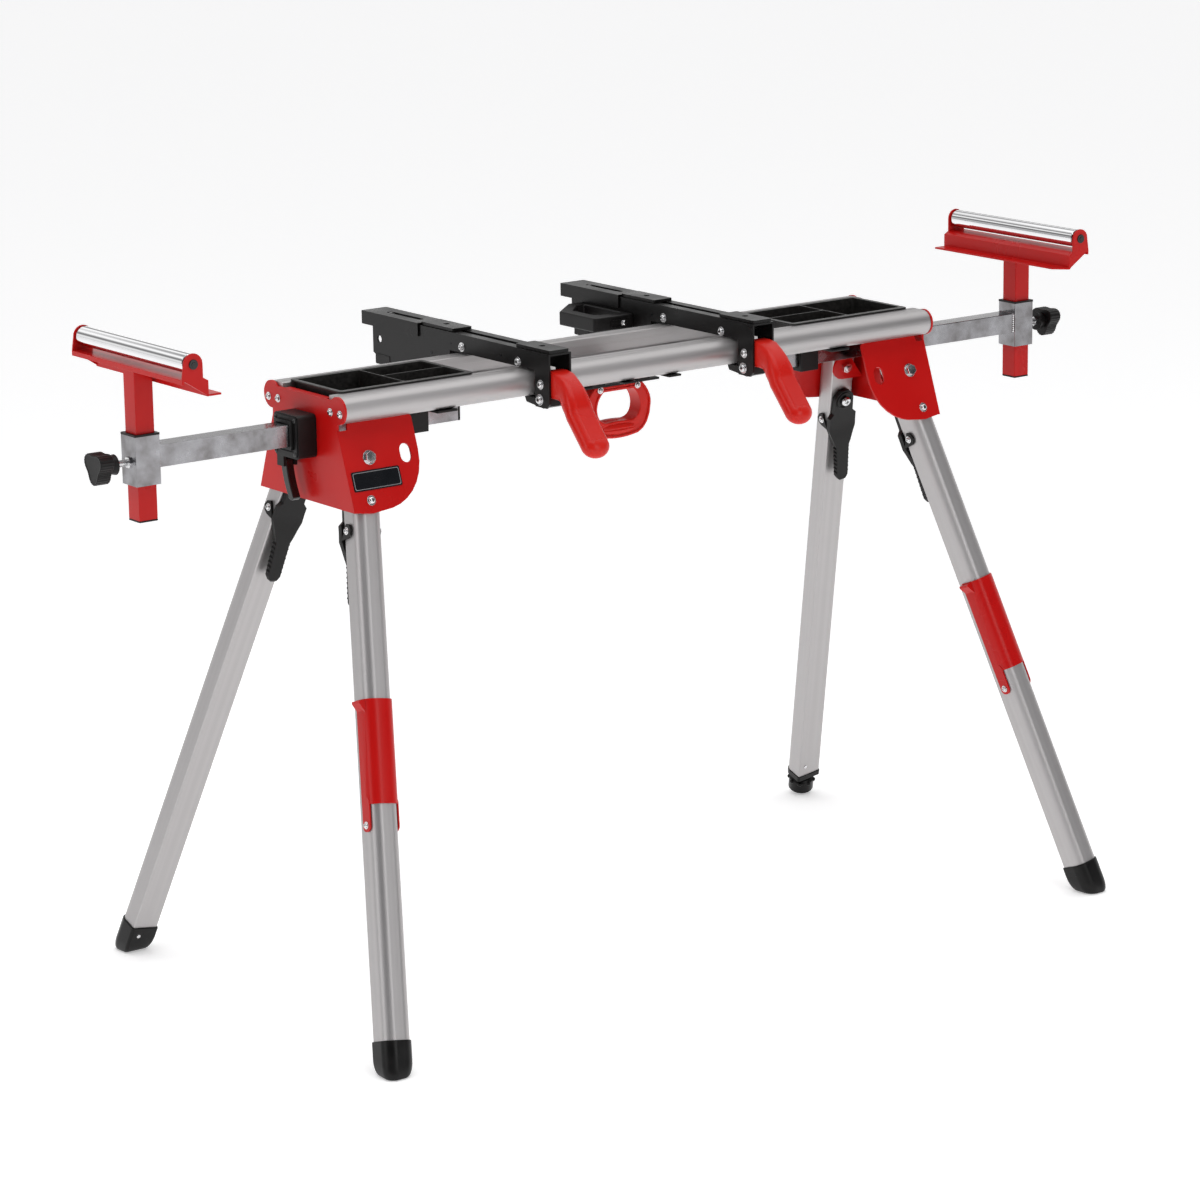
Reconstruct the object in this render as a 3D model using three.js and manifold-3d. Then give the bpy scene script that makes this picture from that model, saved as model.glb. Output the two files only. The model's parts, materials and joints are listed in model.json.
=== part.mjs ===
// Folding mitre saw stand: two aluminium beams joined by pressed end plates, four folding legs,
// a telescopic roller arm at each end and two saw mounting brackets that slide on the beams.
// Millimetres, +Z up, +X along the beams, -Y the front. The origin is on the floor under the middle.
import * as THREE from 'three';
import { mergeVertices } from 'three/addons/utils/BufferGeometryUtils.js';
import Module from 'manifold-3d';

const wasm = await Module();
wasm.setup();

// Driving dimensions ---------------------------------------------------------------------------
const GAP = 0.3;                 // clearance between pieces that touch
const BEAM_LENGTH = 940;         // over the end plates
const BEAM_HEIGHT = 33;          // D-shaped extrusion, rounded side outwards
const BEAM_DEPTH = 38;
const BEAM_WALL = 2.2;
const BEAM_BOTTOM = 743;
const BEAM_INNER_Y = 52;
const SHEET = 3;                 // end plate steel
const PLATE_BOTTOM = 638;
const PLATE_TOP = 771;
const FLANGE_TOP_Y = 73;         // top edge of the slanted flanges
const FLANGE_TOP_Z = 733.3;
const SPLAY = THREE.MathUtils.degToRad(19.3);      // flanges and legs, seen from the end
const LEG_TILT = THREE.MathUtils.degToRad(10.4);   // legs, seen square to the flange
const PIVOT_U = 36.5;            // leg pivot: inwards from the end plate, and down the flange
const PIVOT_V = 36;
const LEG_WIDTH = 37;
const LEG_DEPTH = 33;
const LEG_WALL = 2;
const LEG_TOP = 18;              // leg tube above its pivot
const LEG_LENGTH = 728;          // leg tube below its pivot
const SCREW_LEG_LENGTH = 703;    // leg tube over the adjustable foot
const LEG_PLAY = 0.5;            // between the leg tube and the flange or ear
const PIN_DROP = 52.9;           // lock pin below the leg pivot
const LEVER_DROP = 87;           // lock lever screws below the leg pivot
const BOLT_RADIUS = 4;
const ARM_SIZE = 27;
const ARM_Z = 724;
const ARM_INNER_END = 250;
const SLEEVE_X = 702;
const SLEEVE_SIZE = 33.4;
const SLEEVE_BOTTOM = 691;
const SLEEVE_TOP = 752;
const POST_SIZE = 25.4;
const POST_BOTTOM = 648;
const KNOB_Z = 719;
const ROLLER_Z = 853;
const ROLLER_RADIUS = 12;
const ROLLER_LENGTH = 244;
const CRADLE_Z = 836;            // top of the roller cradle's base
const TRAY_INNER_X = 260;
const TRAY_OUTER_X = 450;
const TRAY_TOP = 778.6;
const BRACKET_X = [-171, 153];   // saw brackets
const BRACKET_WIDTH = 34.5;
const BRACKET_SHEET = 2.5;
const BRACKET_TOP = 801;
const BRACKET_FRONT = -122;
const BRACKET_BACK = 268;
const HANDLE_X = 3;

const HALF = BEAM_LENGTH / 2;
const BEAM_TOP = BEAM_BOTTOM + BEAM_HEIGHT;
const NOSE_RADIUS = BEAM_HEIGHT / 2;
const NOSE_Y = BEAM_INNER_Y + BEAM_DEPTH - NOSE_RADIUS;
const NOSE_Z = BEAM_BOTTOM + NOSE_RADIUS;
const BRACKET_SIDE = BRACKET_WIDTH / 2;

// Materials ------------------------------------------------------------------------------------
const paint = (color, roughness, metalness) => new THREE.MeshStandardMaterial({ color, roughness, metalness });
const RED = paint(0xc81c18, 0.42, 0.0);
const BLACK_STEEL = paint(0x232122, 0.5, 0.2);
const BLACK_PLASTIC = paint(0x2b2929, 0.55, 0.0);
const RUBBER = paint(0x161616, 0.8, 0.0);
const RED_PLASTIC = paint(0xd0201a, 0.4, 0.0);
const ALUMINIUM = paint(0xb0aeae, 0.38, 0.9);
const ZINC = paint(0xa8acb0, 0.35, 1.0);
const CHROME = paint(0xd8dadc, 0.12, 1.0);

// Geometry helpers -----------------------------------------------------------------------------
const X = new THREE.Vector3(1, 0, 0);
const Y = new THREE.Vector3(0, 1, 0);
const Z = new THREE.Vector3(0, 0, 1);
const FACING_X = new THREE.Matrix4().makeBasis(Y, Z, X);                  // outline (y, z), swept along X
const FACING_Y = new THREE.Matrix4().makeBasis(X, Z, Y.clone().negate()); // outline (x, z), swept along Y

function toSolid(geometry) {
  const bare = geometry.clone();
  bare.deleteAttribute('normal');
  bare.deleteAttribute('uv');
  const merged = mergeVertices(bare, 1e-4);
  return new wasm.Manifold(new wasm.Mesh({
    numProp: 3,
    vertProperties: new Float32Array(merged.attributes.position.array),
    triVerts: new Uint32Array(merged.index.array),
  }));
}

function toGeometry(solid) {
  const mesh = solid.getMesh();
  const geometry = new THREE.BufferGeometry();
  geometry.setAttribute('position', new THREE.BufferAttribute(new Float32Array(mesh.vertProperties), 3));
  geometry.setIndex(new THREE.BufferAttribute(new Uint32Array(mesh.triVerts), 1));
  geometry.computeVertexNormals();
  return geometry;
}

function box(x0, x1, y0, y1, z0, z1) {
  const geometry = new THREE.BoxGeometry(x1 - x0, y1 - y0, z1 - z0);
  geometry.translate((x0 + x1) / 2, (y0 + y1) / 2, (z0 + z1) / 2);
  return toSolid(geometry);
}

// A round bar from one point to another.
function bar(from, to, radius, sides = 12) {
  const start = new THREE.Vector3(...from);
  const along = new THREE.Vector3(...to).sub(start);
  const geometry = new THREE.CylinderGeometry(radius, radius, along.length(), sides);
  geometry.applyQuaternion(new THREE.Quaternion().setFromUnitVectors(Y, along.clone().normalize()));
  geometry.translate(start.x + along.x / 2, start.y + along.y / 2, start.z + along.z / 2);
  return toSolid(geometry);
}

// A shape swept from one value to another along +Z, or along X or Y with the matrices above.
function sweep(shape, from, to, facing = null, curveSegments = 2) {
  const geometry = new THREE.ExtrudeGeometry(shape, { depth: to - from, bevelEnabled: false, curveSegments });
  geometry.translate(0, 0, facing === FACING_Y ? -to : from);
  if (facing) {
    geometry.applyMatrix4(facing);
  }
  return toSolid(geometry);
}

function polygon(points) {
  return new THREE.Shape(points.map(([a, b]) => new THREE.Vector2(a, b)));
}

function roundedRect(x0, y0, x1, y1, radius) {
  const shape = new THREE.Shape();
  shape.moveTo(x0 + radius, y0);
  shape.absarc(x1 - radius, y0 + radius, radius, -Math.PI / 2, 0);
  shape.absarc(x1 - radius, y1 - radius, radius, 0, Math.PI / 2);
  shape.absarc(x0 + radius, y1 - radius, radius, Math.PI / 2, Math.PI);
  shape.absarc(x0 + radius, y0 + radius, radius, Math.PI, Math.PI * 1.5);
  return shape;
}

function circle(x, y, radius, sides = 14) {
  const points = [];
  for (let i = 0; i < sides; i += 1) {
    const angle = i / sides * Math.PI * 2;
    points.push([x + radius * Math.cos(angle), y + radius * Math.sin(angle)]);
  }
  return polygon(points);
}

function mirroredInY(solid) {
  const geometry = toGeometry(solid);
  geometry.scale(1, -1, 1);
  const index = geometry.index.array;
  for (let i = 0; i < index.length; i += 3) {
    [index[i + 1], index[i + 2]] = [index[i + 2], index[i + 1]];
  }
  return toSolid(geometry);
}

const part = new THREE.Group();

function add(parent, name, solid, material) {
  const mesh = new THREE.Mesh(toGeometry(solid), material);
  mesh.name = name;
  parent.add(mesh);
  return mesh;
}

// Both ends are the same assembly, turned half round. It is drawn once, on the -X side.
const ends = ['left', 'right'].map((side, i) => {
  const group = new THREE.Group();
  group.rotation.z = Math.PI * i;
  part.add(group);
  return { side, group };
});

// Beams ----------------------------------------------------------------------------------------
// Section of the front beam in (y, z), shrunk by the wall for its hollow.
function beamSection(inset) {
  const shape = new THREE.Shape();
  shape.moveTo(-BEAM_INNER_Y - inset, BEAM_BOTTOM + inset);
  shape.lineTo(-BEAM_INNER_Y - inset, BEAM_TOP - inset);
  shape.lineTo(-NOSE_Y, BEAM_TOP - inset);
  shape.absarc(-NOSE_Y, NOSE_Z, NOSE_RADIUS - inset, Math.PI / 2, Math.PI * 1.5);
  return shape;
}

function beam() {
  const end = HALF - SHEET - GAP;
  const skin = sweep(beamSection(0), -end, end, FACING_X, 5);
  return skin.subtract(sweep(beamSection(BEAM_WALL), -end - 1, end + 1, FACING_X, 5));
}

add(part, 'front_beam', beam(), ALUMINIUM);
add(part, 'rear_beam', mirroredInY(beam()), ALUMINIUM);

// End plates -----------------------------------------------------------------------------------
// Frame of the front flange: u runs inwards from the plate, v down the slope, w into the stand.
const flangeDown = new THREE.Vector3(0, -Math.sin(SPLAY), -Math.cos(SPLAY));
const flangeIn = new THREE.Vector3(0, Math.cos(SPLAY), -Math.sin(SPLAY));
const flangeFrame = new THREE.Matrix4().makeBasis(X, flangeDown, flangeIn);
flangeFrame.setPosition(-HALF, -FLANGE_TOP_Y, FLANGE_TOP_Z);
const EAR_RADIUS = 20;
const EAR_FROM = SHEET + LEG_PLAY + LEG_DEPTH + LEG_PLAY;

function flangeOutline() {
  const shape = new THREE.Shape();
  shape.moveTo(0.4, -1);
  shape.lineTo(14, -1);
  shape.lineTo(16, -8.8);
  shape.lineTo(105, -8.8);
  shape.quadraticCurveTo(109, -8.8, 109, -4);
  shape.lineTo(109, 34);
  shape.bezierCurveTo(109, 72, 84, 96, 56, 101);
  shape.lineTo(26, 104);
  shape.lineTo(0.4, 100);
  return shape;
}

// The flange, and the inner ear that carries the other end of the leg's pivot bolt.
function flangeAndEar() {
  const slot = roundedRect(82, 25, 98, 49, 7.9);
  const hole = circle(PIVOT_U, PIVOT_V, BOLT_RADIUS + 0.4);
  const ear = new THREE.Shape();
  ear.moveTo(0.5, PIVOT_V - EAR_RADIUS);
  ear.absarc(PIVOT_U, PIVOT_V, EAR_RADIUS, -Math.PI / 2, Math.PI / 2);
  ear.lineTo(0.5, PIVOT_V + EAR_RADIUS);
  let solid = sweep(flangeOutline(), 0, SHEET, flangeFrame, 7).subtract(sweep(slot, -1, SHEET + 1, flangeFrame));
  solid = solid.add(sweep(ear, EAR_FROM, EAR_FROM + SHEET, flangeFrame, 4));
  return solid.subtract(sweep(hole, -1, EAR_FROM + SHEET + 1, flangeFrame));
}

function endPlate() {
  const narrow = FLANGE_TOP_Y - 1.3;
  const wide = narrow + (FLANGE_TOP_Z - PLATE_BOTTOM + 2) * Math.tan(SPLAY);
  const outline = polygon([
    [-wide, PLATE_BOTTOM], [wide, PLATE_BOTTOM], [narrow, FLANGE_TOP_Z + 1.7],
    [narrow, PLATE_TOP], [-narrow, PLATE_TOP], [-narrow, FLANGE_TOP_Z + 1.7],
  ]);
  let solid = sweep(outline, -HALF, -HALF + SHEET, FACING_X);
  for (const side of [-1, 1]) {
    const lobe = circle(side * NOSE_Y, NOSE_Z, NOSE_RADIUS + 0.8, 24);
    solid = solid.add(sweep(lobe, -HALF, -HALF + SHEET, FACING_X));
  }
  const lip = box(-HALF + 1, -HALF + 11, -46, 46, PLATE_TOP - SHEET, PLATE_TOP);
  const armWindow = box(-HALF - 1, -HALF + SHEET + 1, -15, 15, ARM_Z - 15, ARM_Z + 15);
  const front = flangeAndEar();
  return solid.add(lip).add(front).add(mirroredInY(front)).subtract(armWindow);
}

// Arm housings, cam levers and inner guides ----------------------------------------------------
const HOUSING_OUT = 27;
const HOUSING_HALF = 27;
const CAM_Y = 19;
const CAM_Z = 687;
const HOUSING_Z = 722;

function armHousing() {
  const from = -HALF - HOUSING_OUT;
  const to = -HALF - GAP;
  const outer = roundedRect(-HOUSING_HALF, HOUSING_Z - HOUSING_HALF, HOUSING_HALF, HOUSING_Z + HOUSING_HALF, 6);
  const collar = roundedRect(-18, ARM_Z - 18, 18, ARM_Z + 18, 3);
  const bore = ARM_SIZE / 2 + 0.6;
  let solid = sweep(outer, from, to, FACING_X).add(sweep(collar, from - 5, from + 1, FACING_X));
  for (const x of [from + 2, from + 18]) {
    solid = solid.add(box(x, x + 4, CAM_Y - 8, CAM_Y + 7, CAM_Z - 6, HOUSING_Z - HOUSING_HALF + 2));
  }
  return solid.subtract(box(from - 7, to + 1, -bore, bore, ARM_Z - bore, ARM_Z + bore));
}

// Cam lever under the housing: a hub and a tapering curved handle.
function camLever() {
  const from = -HALF - HOUSING_OUT + 6.5;
  const handle = new THREE.Shape();
  handle.moveTo(CAM_Y + 6, CAM_Z);
  handle.quadraticCurveTo(CAM_Y + 3, CAM_Z - 26, CAM_Y - 10, CAM_Z - 46);
  handle.quadraticCurveTo(CAM_Y - 16, CAM_Z - 51, CAM_Y - 20, CAM_Z - 44);
  handle.quadraticCurveTo(CAM_Y - 8, CAM_Z - 22, CAM_Y - 6, CAM_Z);
  const hub = sweep(circle(CAM_Y, CAM_Z, 6.4), from, from + 11, FACING_X);
  return sweep(handle, from, from + 11, FACING_X, 4).add(hub);
}

function armGuide() {
  const bore = ARM_SIZE / 2 + 0.8;
  const block = box(-330, -300, -20, 20, 704, BEAM_BOTTOM - GAP);
  const strap = box(-330, -300, -84, 84, 739.6, BEAM_BOTTOM - GAP);
  return block.add(strap).subtract(box(-331, -299, -bore, bore, ARM_Z - bore, ARM_Z + bore));
}

// Trays ----------------------------------------------------------------------------------------
const TRAY_WALL = 2.5;
const TRAY_FLOOR = 746;

function tray() {
  const halfY = BEAM_INNER_Y - 1;
  const middle = (TRAY_INNER_X + TRAY_OUTER_X) / 2;
  const body = roundedRect(-TRAY_OUTER_X, -halfY, -TRAY_INNER_X, halfY, 4);
  const rim = roundedRect(-TRAY_OUTER_X - 4, -halfY - 6, -TRAY_INNER_X + 4, halfY + 6, 5);
  const pockets = [
    [-TRAY_OUTER_X + TRAY_WALL, -middle - 1, -halfY + TRAY_WALL, halfY - TRAY_WALL],
    [-middle + 1, -TRAY_INNER_X - TRAY_WALL, -halfY + TRAY_WALL, -1],
    [-middle + 1, -TRAY_INNER_X - TRAY_WALL, 1, halfY - TRAY_WALL],
  ];
  let solid = sweep(body, BEAM_BOTTOM + 0.5, TRAY_TOP).add(sweep(rim, BEAM_TOP + 0.4, TRAY_TOP));
  for (const [x0, x1, y0, y1] of pockets) {
    solid = solid.subtract(sweep(roundedRect(x0, y0, x1, y1, 3), TRAY_FLOOR, TRAY_TOP + 1));
  }
  return solid;
}

// Extension arms, posts and rollers ------------------------------------------------------------
function arm() {
  const half = ARM_SIZE / 2;
  const sleeveHalf = SLEEVE_SIZE / 2;
  const bore = POST_SIZE / 2 + 0.7;
  const sleeveFace = -SLEEVE_X + sleeveHalf;
  const tube = box(sleeveFace - 1.5, -ARM_INNER_END, -half, half, ARM_Z - half, ARM_Z + half);
  const hollow = box(sleeveFace, -ARM_INNER_END + 1, -half + 2, half - 2, ARM_Z - half + 2, ARM_Z + half - 2);
  const sleeve = box(-SLEEVE_X - sleeveHalf, sleeveFace, -sleeveHalf, sleeveHalf, SLEEVE_BOTTOM, SLEEVE_TOP);
  const way = box(-SLEEVE_X - bore, -SLEEVE_X + bore, -bore, bore, SLEEVE_BOTTOM - 1, SLEEVE_TOP + 1);
  const thread = bar([-SLEEVE_X - sleeveHalf - 2, 0, KNOB_Z], [-SLEEVE_X, 0, KNOB_Z], BOLT_RADIUS + 0.4);
  return tube.subtract(hollow).add(sleeve).subtract(way).subtract(thread);
}

function post() {
  const half = POST_SIZE / 2;
  const top = CRADLE_Z - BRACKET_SHEET - GAP;
  const outer = box(-SLEEVE_X - half, -SLEEVE_X + half, -half, half, POST_BOTTOM, top);
  return outer.subtract(box(-SLEEVE_X - half + 2, -SLEEVE_X + half - 2, -half + 2, half - 2, POST_BOTTOM - 1, top + 1));
}

// Three-lobed knob on a threaded bolt that presses on the post.
function clampKnob() {
  const face = -SLEEVE_X - SLEEVE_SIZE / 2;
  const rim = new THREE.Shape();
  const steps = 36;
  for (let i = 0; i < steps; i += 1) {
    const angle = i / steps * Math.PI * 2;
    const radius = 18.5 - 3.5 * Math.sin(angle * 3 + Math.PI);
    const point = [radius * Math.cos(angle), KNOB_Z + radius * Math.sin(angle)];
    if (i === 0) {
      rim.moveTo(...point);
    } else {
      rim.lineTo(...point);
    }
  }
  const grip = sweep(rim, face - 50, face - 30, FACING_X);
  const hub = bar([face - 31, 0, KNOB_Z], [face - 20, 0, KNOB_Z], 10);
  return grip.add(hub).add(bar([face - 21, 0, KNOB_Z], [-SLEEVE_X - POST_SIZE / 2 - 0.4, 0, KNOB_Z], BOLT_RADIUS));
}

// Pressed cradle: base, short outer lip, sloping shoulder, inner web and stop flange. An ear at
// each end carries the axle and runs down to the foot of the web. One flange corner is cut off.
function rollerCradle() {
  const middle = -SLEEVE_X;
  const sheet = BRACKET_SHEET;
  const reach = ROLLER_LENGTH / 2 + 3 + sheet;
  const web = middle + 20;
  const foot = CRADLE_Z - 23;
  const lip = middle - 13.1 - sheet;
  const section = polygon([
    [lip, CRADLE_Z - 6], [lip + sheet, CRADLE_Z - 6], [lip + sheet, CRADLE_Z - sheet],
    [middle + 13.4, CRADLE_Z - sheet], [web - sheet, CRADLE_Z - 5.6], [web - sheet, foot], [web + 17, foot],
    [web + 17, foot + sheet], [web, foot + sheet], [web, CRADLE_Z - 4], [middle + 13, CRADLE_Z], [lip, CRADLE_Z],
  ]);
  const ear = new THREE.Shape();
  ear.moveTo(lip, CRADLE_Z);
  ear.lineTo(web, foot);
  ear.lineTo(web, CRADLE_Z - 4);
  ear.lineTo(middle + 13, CRADLE_Z);
  ear.absarc(middle, ROLLER_Z, 13, 0, Math.PI);
  let solid = sweep(section, -reach, reach, FACING_Y);
  for (const [y0, y1] of [[-reach, -reach + sheet], [reach - sheet, reach]]) {
    solid = solid.add(sweep(ear, y0, y1, FACING_Y, 5));
    solid = solid.subtract(bar([middle, y0 - 1, ROLLER_Z], [middle, y1 + 1, ROLLER_Z], 4.4));
  }
  const corner = polygon([[web + 18, reach + 1], [web, reach + 1], [web + 18, reach - 18]]);
  return solid.subtract(sweep(corner, foot - 2, foot + 5));
}

function roller() {
  const half = ROLLER_LENGTH / 2;
  const axle = half + 3 + BRACKET_SHEET + 1.5;
  const drum = bar([-SLEEVE_X, -half, ROLLER_Z], [-SLEEVE_X, half, ROLLER_Z], ROLLER_RADIUS, 24);
  return drum.add(bar([-SLEEVE_X, -axle, ROLLER_Z], [-SLEEVE_X, axle, ROLLER_Z], BOLT_RADIUS));
}

for (const { side, group } of ends) {
  add(group, `end_plate_${side}`, endPlate(), RED);
  add(group, `arm_housing_${side}`, armHousing(), BLACK_PLASTIC);
  add(group, `arm_cam_lever_${side}`, camLever(), BLACK_PLASTIC);
  add(group, `arm_guide_${side}`, armGuide(), BLACK_PLASTIC);
  add(group, `tray_${side}`, tray(), BLACK_PLASTIC);
  add(group, `extension_arm_${side}`, arm(), ZINC);
  add(group, `roller_post_${side}`, post(), RED);
  add(group, `clamp_knob_${side}`, clampKnob(), BLACK_PLASTIC);
  add(group, `roller_cradle_${side}`, rollerCradle(), RED);
  add(group, `roller_${side}`, roller(), CHROME);
}

// Legs -----------------------------------------------------------------------------------------
// Leg frame: origin on the pivot at the leg's outer side, y into the stand, z up along the leg.
function legFrame(sideX, sideY) {
  const down = new THREE.Vector3(0, sideY * Math.sin(SPLAY), -Math.cos(SPLAY));
  const inward = new THREE.Vector3(0, -sideY * Math.cos(SPLAY), -Math.sin(SPLAY));
  const along = down.clone().multiplyScalar(Math.cos(LEG_TILT));
  along.add(new THREE.Vector3(sideX * Math.sin(LEG_TILT), 0, 0));
  const up = along.negate();
  const frame = new THREE.Matrix4().makeBasis(inward.clone().cross(up), inward, up);
  const origin = new THREE.Vector3(sideX * (HALF - PIVOT_U), sideY * FLANGE_TOP_Y, FLANGE_TOP_Z);
  origin.addScaledVector(down, PIVOT_V);
  origin.addScaledVector(inward, SHEET + LEG_PLAY);
  return frame.setPosition(origin);
}

// D-shaped leg section in (x, y), grown by an offset.
function legSection(offset) {
  const x = LEG_WIDTH / 2 + offset;
  const noseRadius = 13 + offset;
  const edgeRadius = Math.max(2 + offset, 0.4);
  const shape = new THREE.Shape();
  shape.moveTo(x, LEG_DEPTH + offset - edgeRadius);
  shape.absarc(x - edgeRadius, LEG_DEPTH + offset - edgeRadius, edgeRadius, 0, Math.PI / 2);
  shape.absarc(-x + edgeRadius, LEG_DEPTH + offset - edgeRadius, edgeRadius, Math.PI / 2, Math.PI);
  shape.absarc(-x + noseRadius, -offset + noseRadius, noseRadius, Math.PI, Math.PI * 1.5);
  shape.absarc(x - noseRadius, -offset + noseRadius, noseRadius, Math.PI * 1.5, Math.PI * 2);
  return shape;
}

function legTube(length) {
  let solid = sweep(legSection(0), -length, LEG_TOP).subtract(sweep(legSection(-LEG_WALL), -length - 1, LEG_TOP + 1));
  for (const z of [0, -PIN_DROP]) {
    solid = solid.subtract(bar([0, -2, z], [0, LEG_DEPTH + 2, z], BOLT_RADIUS + 0.4));
  }
  return solid;
}

function pivotBolt() {
  const head = bar([0, -SHEET - LEG_PLAY - 6, 0], [0, -SHEET - LEG_PLAY - GAP, 0], 7.5, 6);
  const nutFrom = LEG_DEPTH + LEG_PLAY + SHEET + GAP;
  const nut = bar([0, nutFrom, 0], [0, nutFrom + 6.5, 0], 7.5, 6);
  return head.add(nut).add(bar([0, -SHEET - LEG_PLAY - 1, 0], [0, nutFrom + 9, 0], BOLT_RADIUS));
}

function lockPin() {
  const shank = bar([0, -0.2, -PIN_DROP], [0, 44, -PIN_DROP], BOLT_RADIUS);
  return shank.add(bar([0, 42.4, -PIN_DROP], [0, 45.4, -PIN_DROP], 7.5));
}

// Seesaw lever on the leg's flat side. Its two side lobes carry the screws it turns on.
function lockLever() {
  const face = LEG_DEPTH + 0.6;
  const profile = new THREE.Shape();
  profile.moveTo(face, -38);
  profile.lineTo(face, -LEVER_DROP);
  profile.lineTo(face + 9.5, -178);
  profile.quadraticCurveTo(face + 15, -181, face + 17, -176);
  profile.lineTo(face + 11, -118);
  profile.quadraticCurveTo(face + 7, -100, face + 7, -88);
  profile.lineTo(face + 7, -38);
  const plan = new THREE.Shape();
  plan.moveTo(-15.5, -PIN_DROP);
  plan.absarc(0, -PIN_DROP, 15.5, Math.PI, 0, true);
  plan.lineTo(16, -72);
  plan.lineTo(22, -78);
  plan.lineTo(22, -98);
  plan.lineTo(10.5, -126);
  plan.lineTo(9, -171);
  plan.quadraticCurveTo(0, -188, -9, -171);
  plan.lineTo(-10.5, -126);
  plan.lineTo(-22, -98);
  plan.lineTo(-22, -78);
  plan.lineTo(-16, -72);
  const body = sweep(profile, -23, 23, FACING_X, 3).intersect(sweep(plan, 20, 60, FACING_Y, 4));
  const lobe = new THREE.Shape();
  lobe.moveTo(face + 2, -LEVER_DROP + 10);
  lobe.absarc(22, -LEVER_DROP, 9, Math.PI / 2, Math.PI * 1.5);
  lobe.lineTo(face + 2, -LEVER_DROP - 10);
  const side = LEG_WIDTH / 2 + 0.6;
  const lobes = sweep(lobe, -22, -side, FACING_X).add(sweep(lobe, side, 22, FACING_X));
  const pinSlot = roundedRect(-5, -PIN_DROP - 7.5, 5, -PIN_DROP + 7.5, 4.9);
  return body.add(lobes).subtract(sweep(pinSlot, 20, 60, FACING_Y, 4));
}

// Moulded shoe over the tube's end, cut off level with the floor.
function legShoe(frame) {
  const top = -LEG_LENGTH + 24;
  const block = sweep(legSection(2), -LEG_LENGTH - 34, top);
  const floor = new THREE.BoxGeometry(400, 400, 200);
  floor.translate(frame.elements[12], frame.elements[13], -100);
  floor.translate(0, Math.sign(frame.elements[13]) * 230, 0);
  floor.applyMatrix4(frame.clone().invert());
  return block.subtract(sweep(legSection(GAP), -LEG_LENGTH - GAP, top + 1)).subtract(toSolid(floor));
}

// Screw foot: a collar in the tube's end, and a domed star wheel on a threaded neck.
const FOOT_Y = LEG_DEPTH / 2;

function footCollar() {
  const plug = sweep(legSection(-LEG_WALL - GAP), -SCREW_LEG_LENGTH, -SCREW_LEG_LENGTH + 16);
  const cap = sweep(legSection(1.2), -SCREW_LEG_LENGTH - 8, -SCREW_LEG_LENGTH - GAP);
  const join = sweep(legSection(-LEG_WALL - GAP), -SCREW_LEG_LENGTH - 1, -SCREW_LEG_LENGTH + 1);
  const bore = bar([0, FOOT_Y, -SCREW_LEG_LENGTH - 9], [0, FOOT_Y, -SCREW_LEG_LENGTH + 17], 5.5);
  return plug.add(join).add(cap).subtract(bore);
}

function wheelFoot(frame) {
  const origin = new THREE.Vector3(0, FOOT_Y, 0).applyMatrix4(frame);
  const rise = frame.elements[10];
  const dome = 26;                                   // radius of the sole
  const centre = -(origin.z - dome) / rise;          // so that the dome just meets the floor
  const top = -SCREW_LEG_LENGTH - 14;
  const profile = [new THREE.Vector2(0, centre - dome)];
  for (const angle of [10, 20, 30, 38]) {
    const radians = THREE.MathUtils.degToRad(angle);
    profile.push(new THREE.Vector2(dome * Math.sin(radians), centre - dome * Math.cos(radians)));
  }
  profile.push(new THREE.Vector2(18, centre - 19));
  profile.push(new THREE.Vector2(18, top - 3));
  profile.push(new THREE.Vector2(15, top));
  profile.push(new THREE.Vector2(5, top));
  profile.push(new THREE.Vector2(5, -SCREW_LEG_LENGTH + 14));
  profile.push(new THREE.Vector2(0, -SCREW_LEG_LENGTH + 14));
  const geometry = new THREE.LatheGeometry(profile, 20);
  geometry.rotateX(Math.PI / 2);
  geometry.translate(0, FOOT_Y, 0);
  return toSolid(geometry);
}

// U-shaped catch over a front leg. It turns on a screw through its two lower ears, which are flat
// so that they clear the tube's rounded side as the catch swings open.
const CATCH_TOP = 294;
const CATCH_WEB_END = 421;
const CATCH_END = 454;
const CATCH_DEPTH = 24;
const CATCH_OUTER = 2.3;
const CATCH_INNER = 0.5;

function foldCatch() {
  const shell = sweep(legSection(CATCH_OUTER), -CATCH_WEB_END, -CATCH_TOP);
  const hollow = sweep(legSection(CATCH_INNER), -CATCH_WEB_END - 1, -CATCH_TOP + 1);
  const open = box(-30, 30, CATCH_DEPTH, 60, -CATCH_WEB_END - 1, -CATCH_TOP + 1);
  const hook = polygon([
    [-LEG_WIDTH / 2 - 1, -CATCH_TOP - 1], [-LEG_WIDTH / 2 - 9, -CATCH_TOP - 2],
    [-LEG_WIDTH / 2 - 9, -CATCH_TOP - 5], [-LEG_WIDTH / 2 - 1, -CATCH_TOP - 16],
  ]);
  const nib = sweep(hook, 6, CATCH_DEPTH - 1, FACING_Y);
  const outline = roundedRect(7.5, -CATCH_END, CATCH_DEPTH - 0.2, -CATCH_WEB_END + 9, 7);
  const wall = [LEG_WIDTH / 2 + CATCH_INNER - 0.05, LEG_WIDTH / 2 + CATCH_OUTER + 0.05];
  const ears = sweep(outline, wall[0], wall[1], FACING_X).add(sweep(outline, -wall[1], -wall[0], FACING_X));
  return shell.add(nib).subtract(hollow).subtract(open).add(ears);
}

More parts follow.
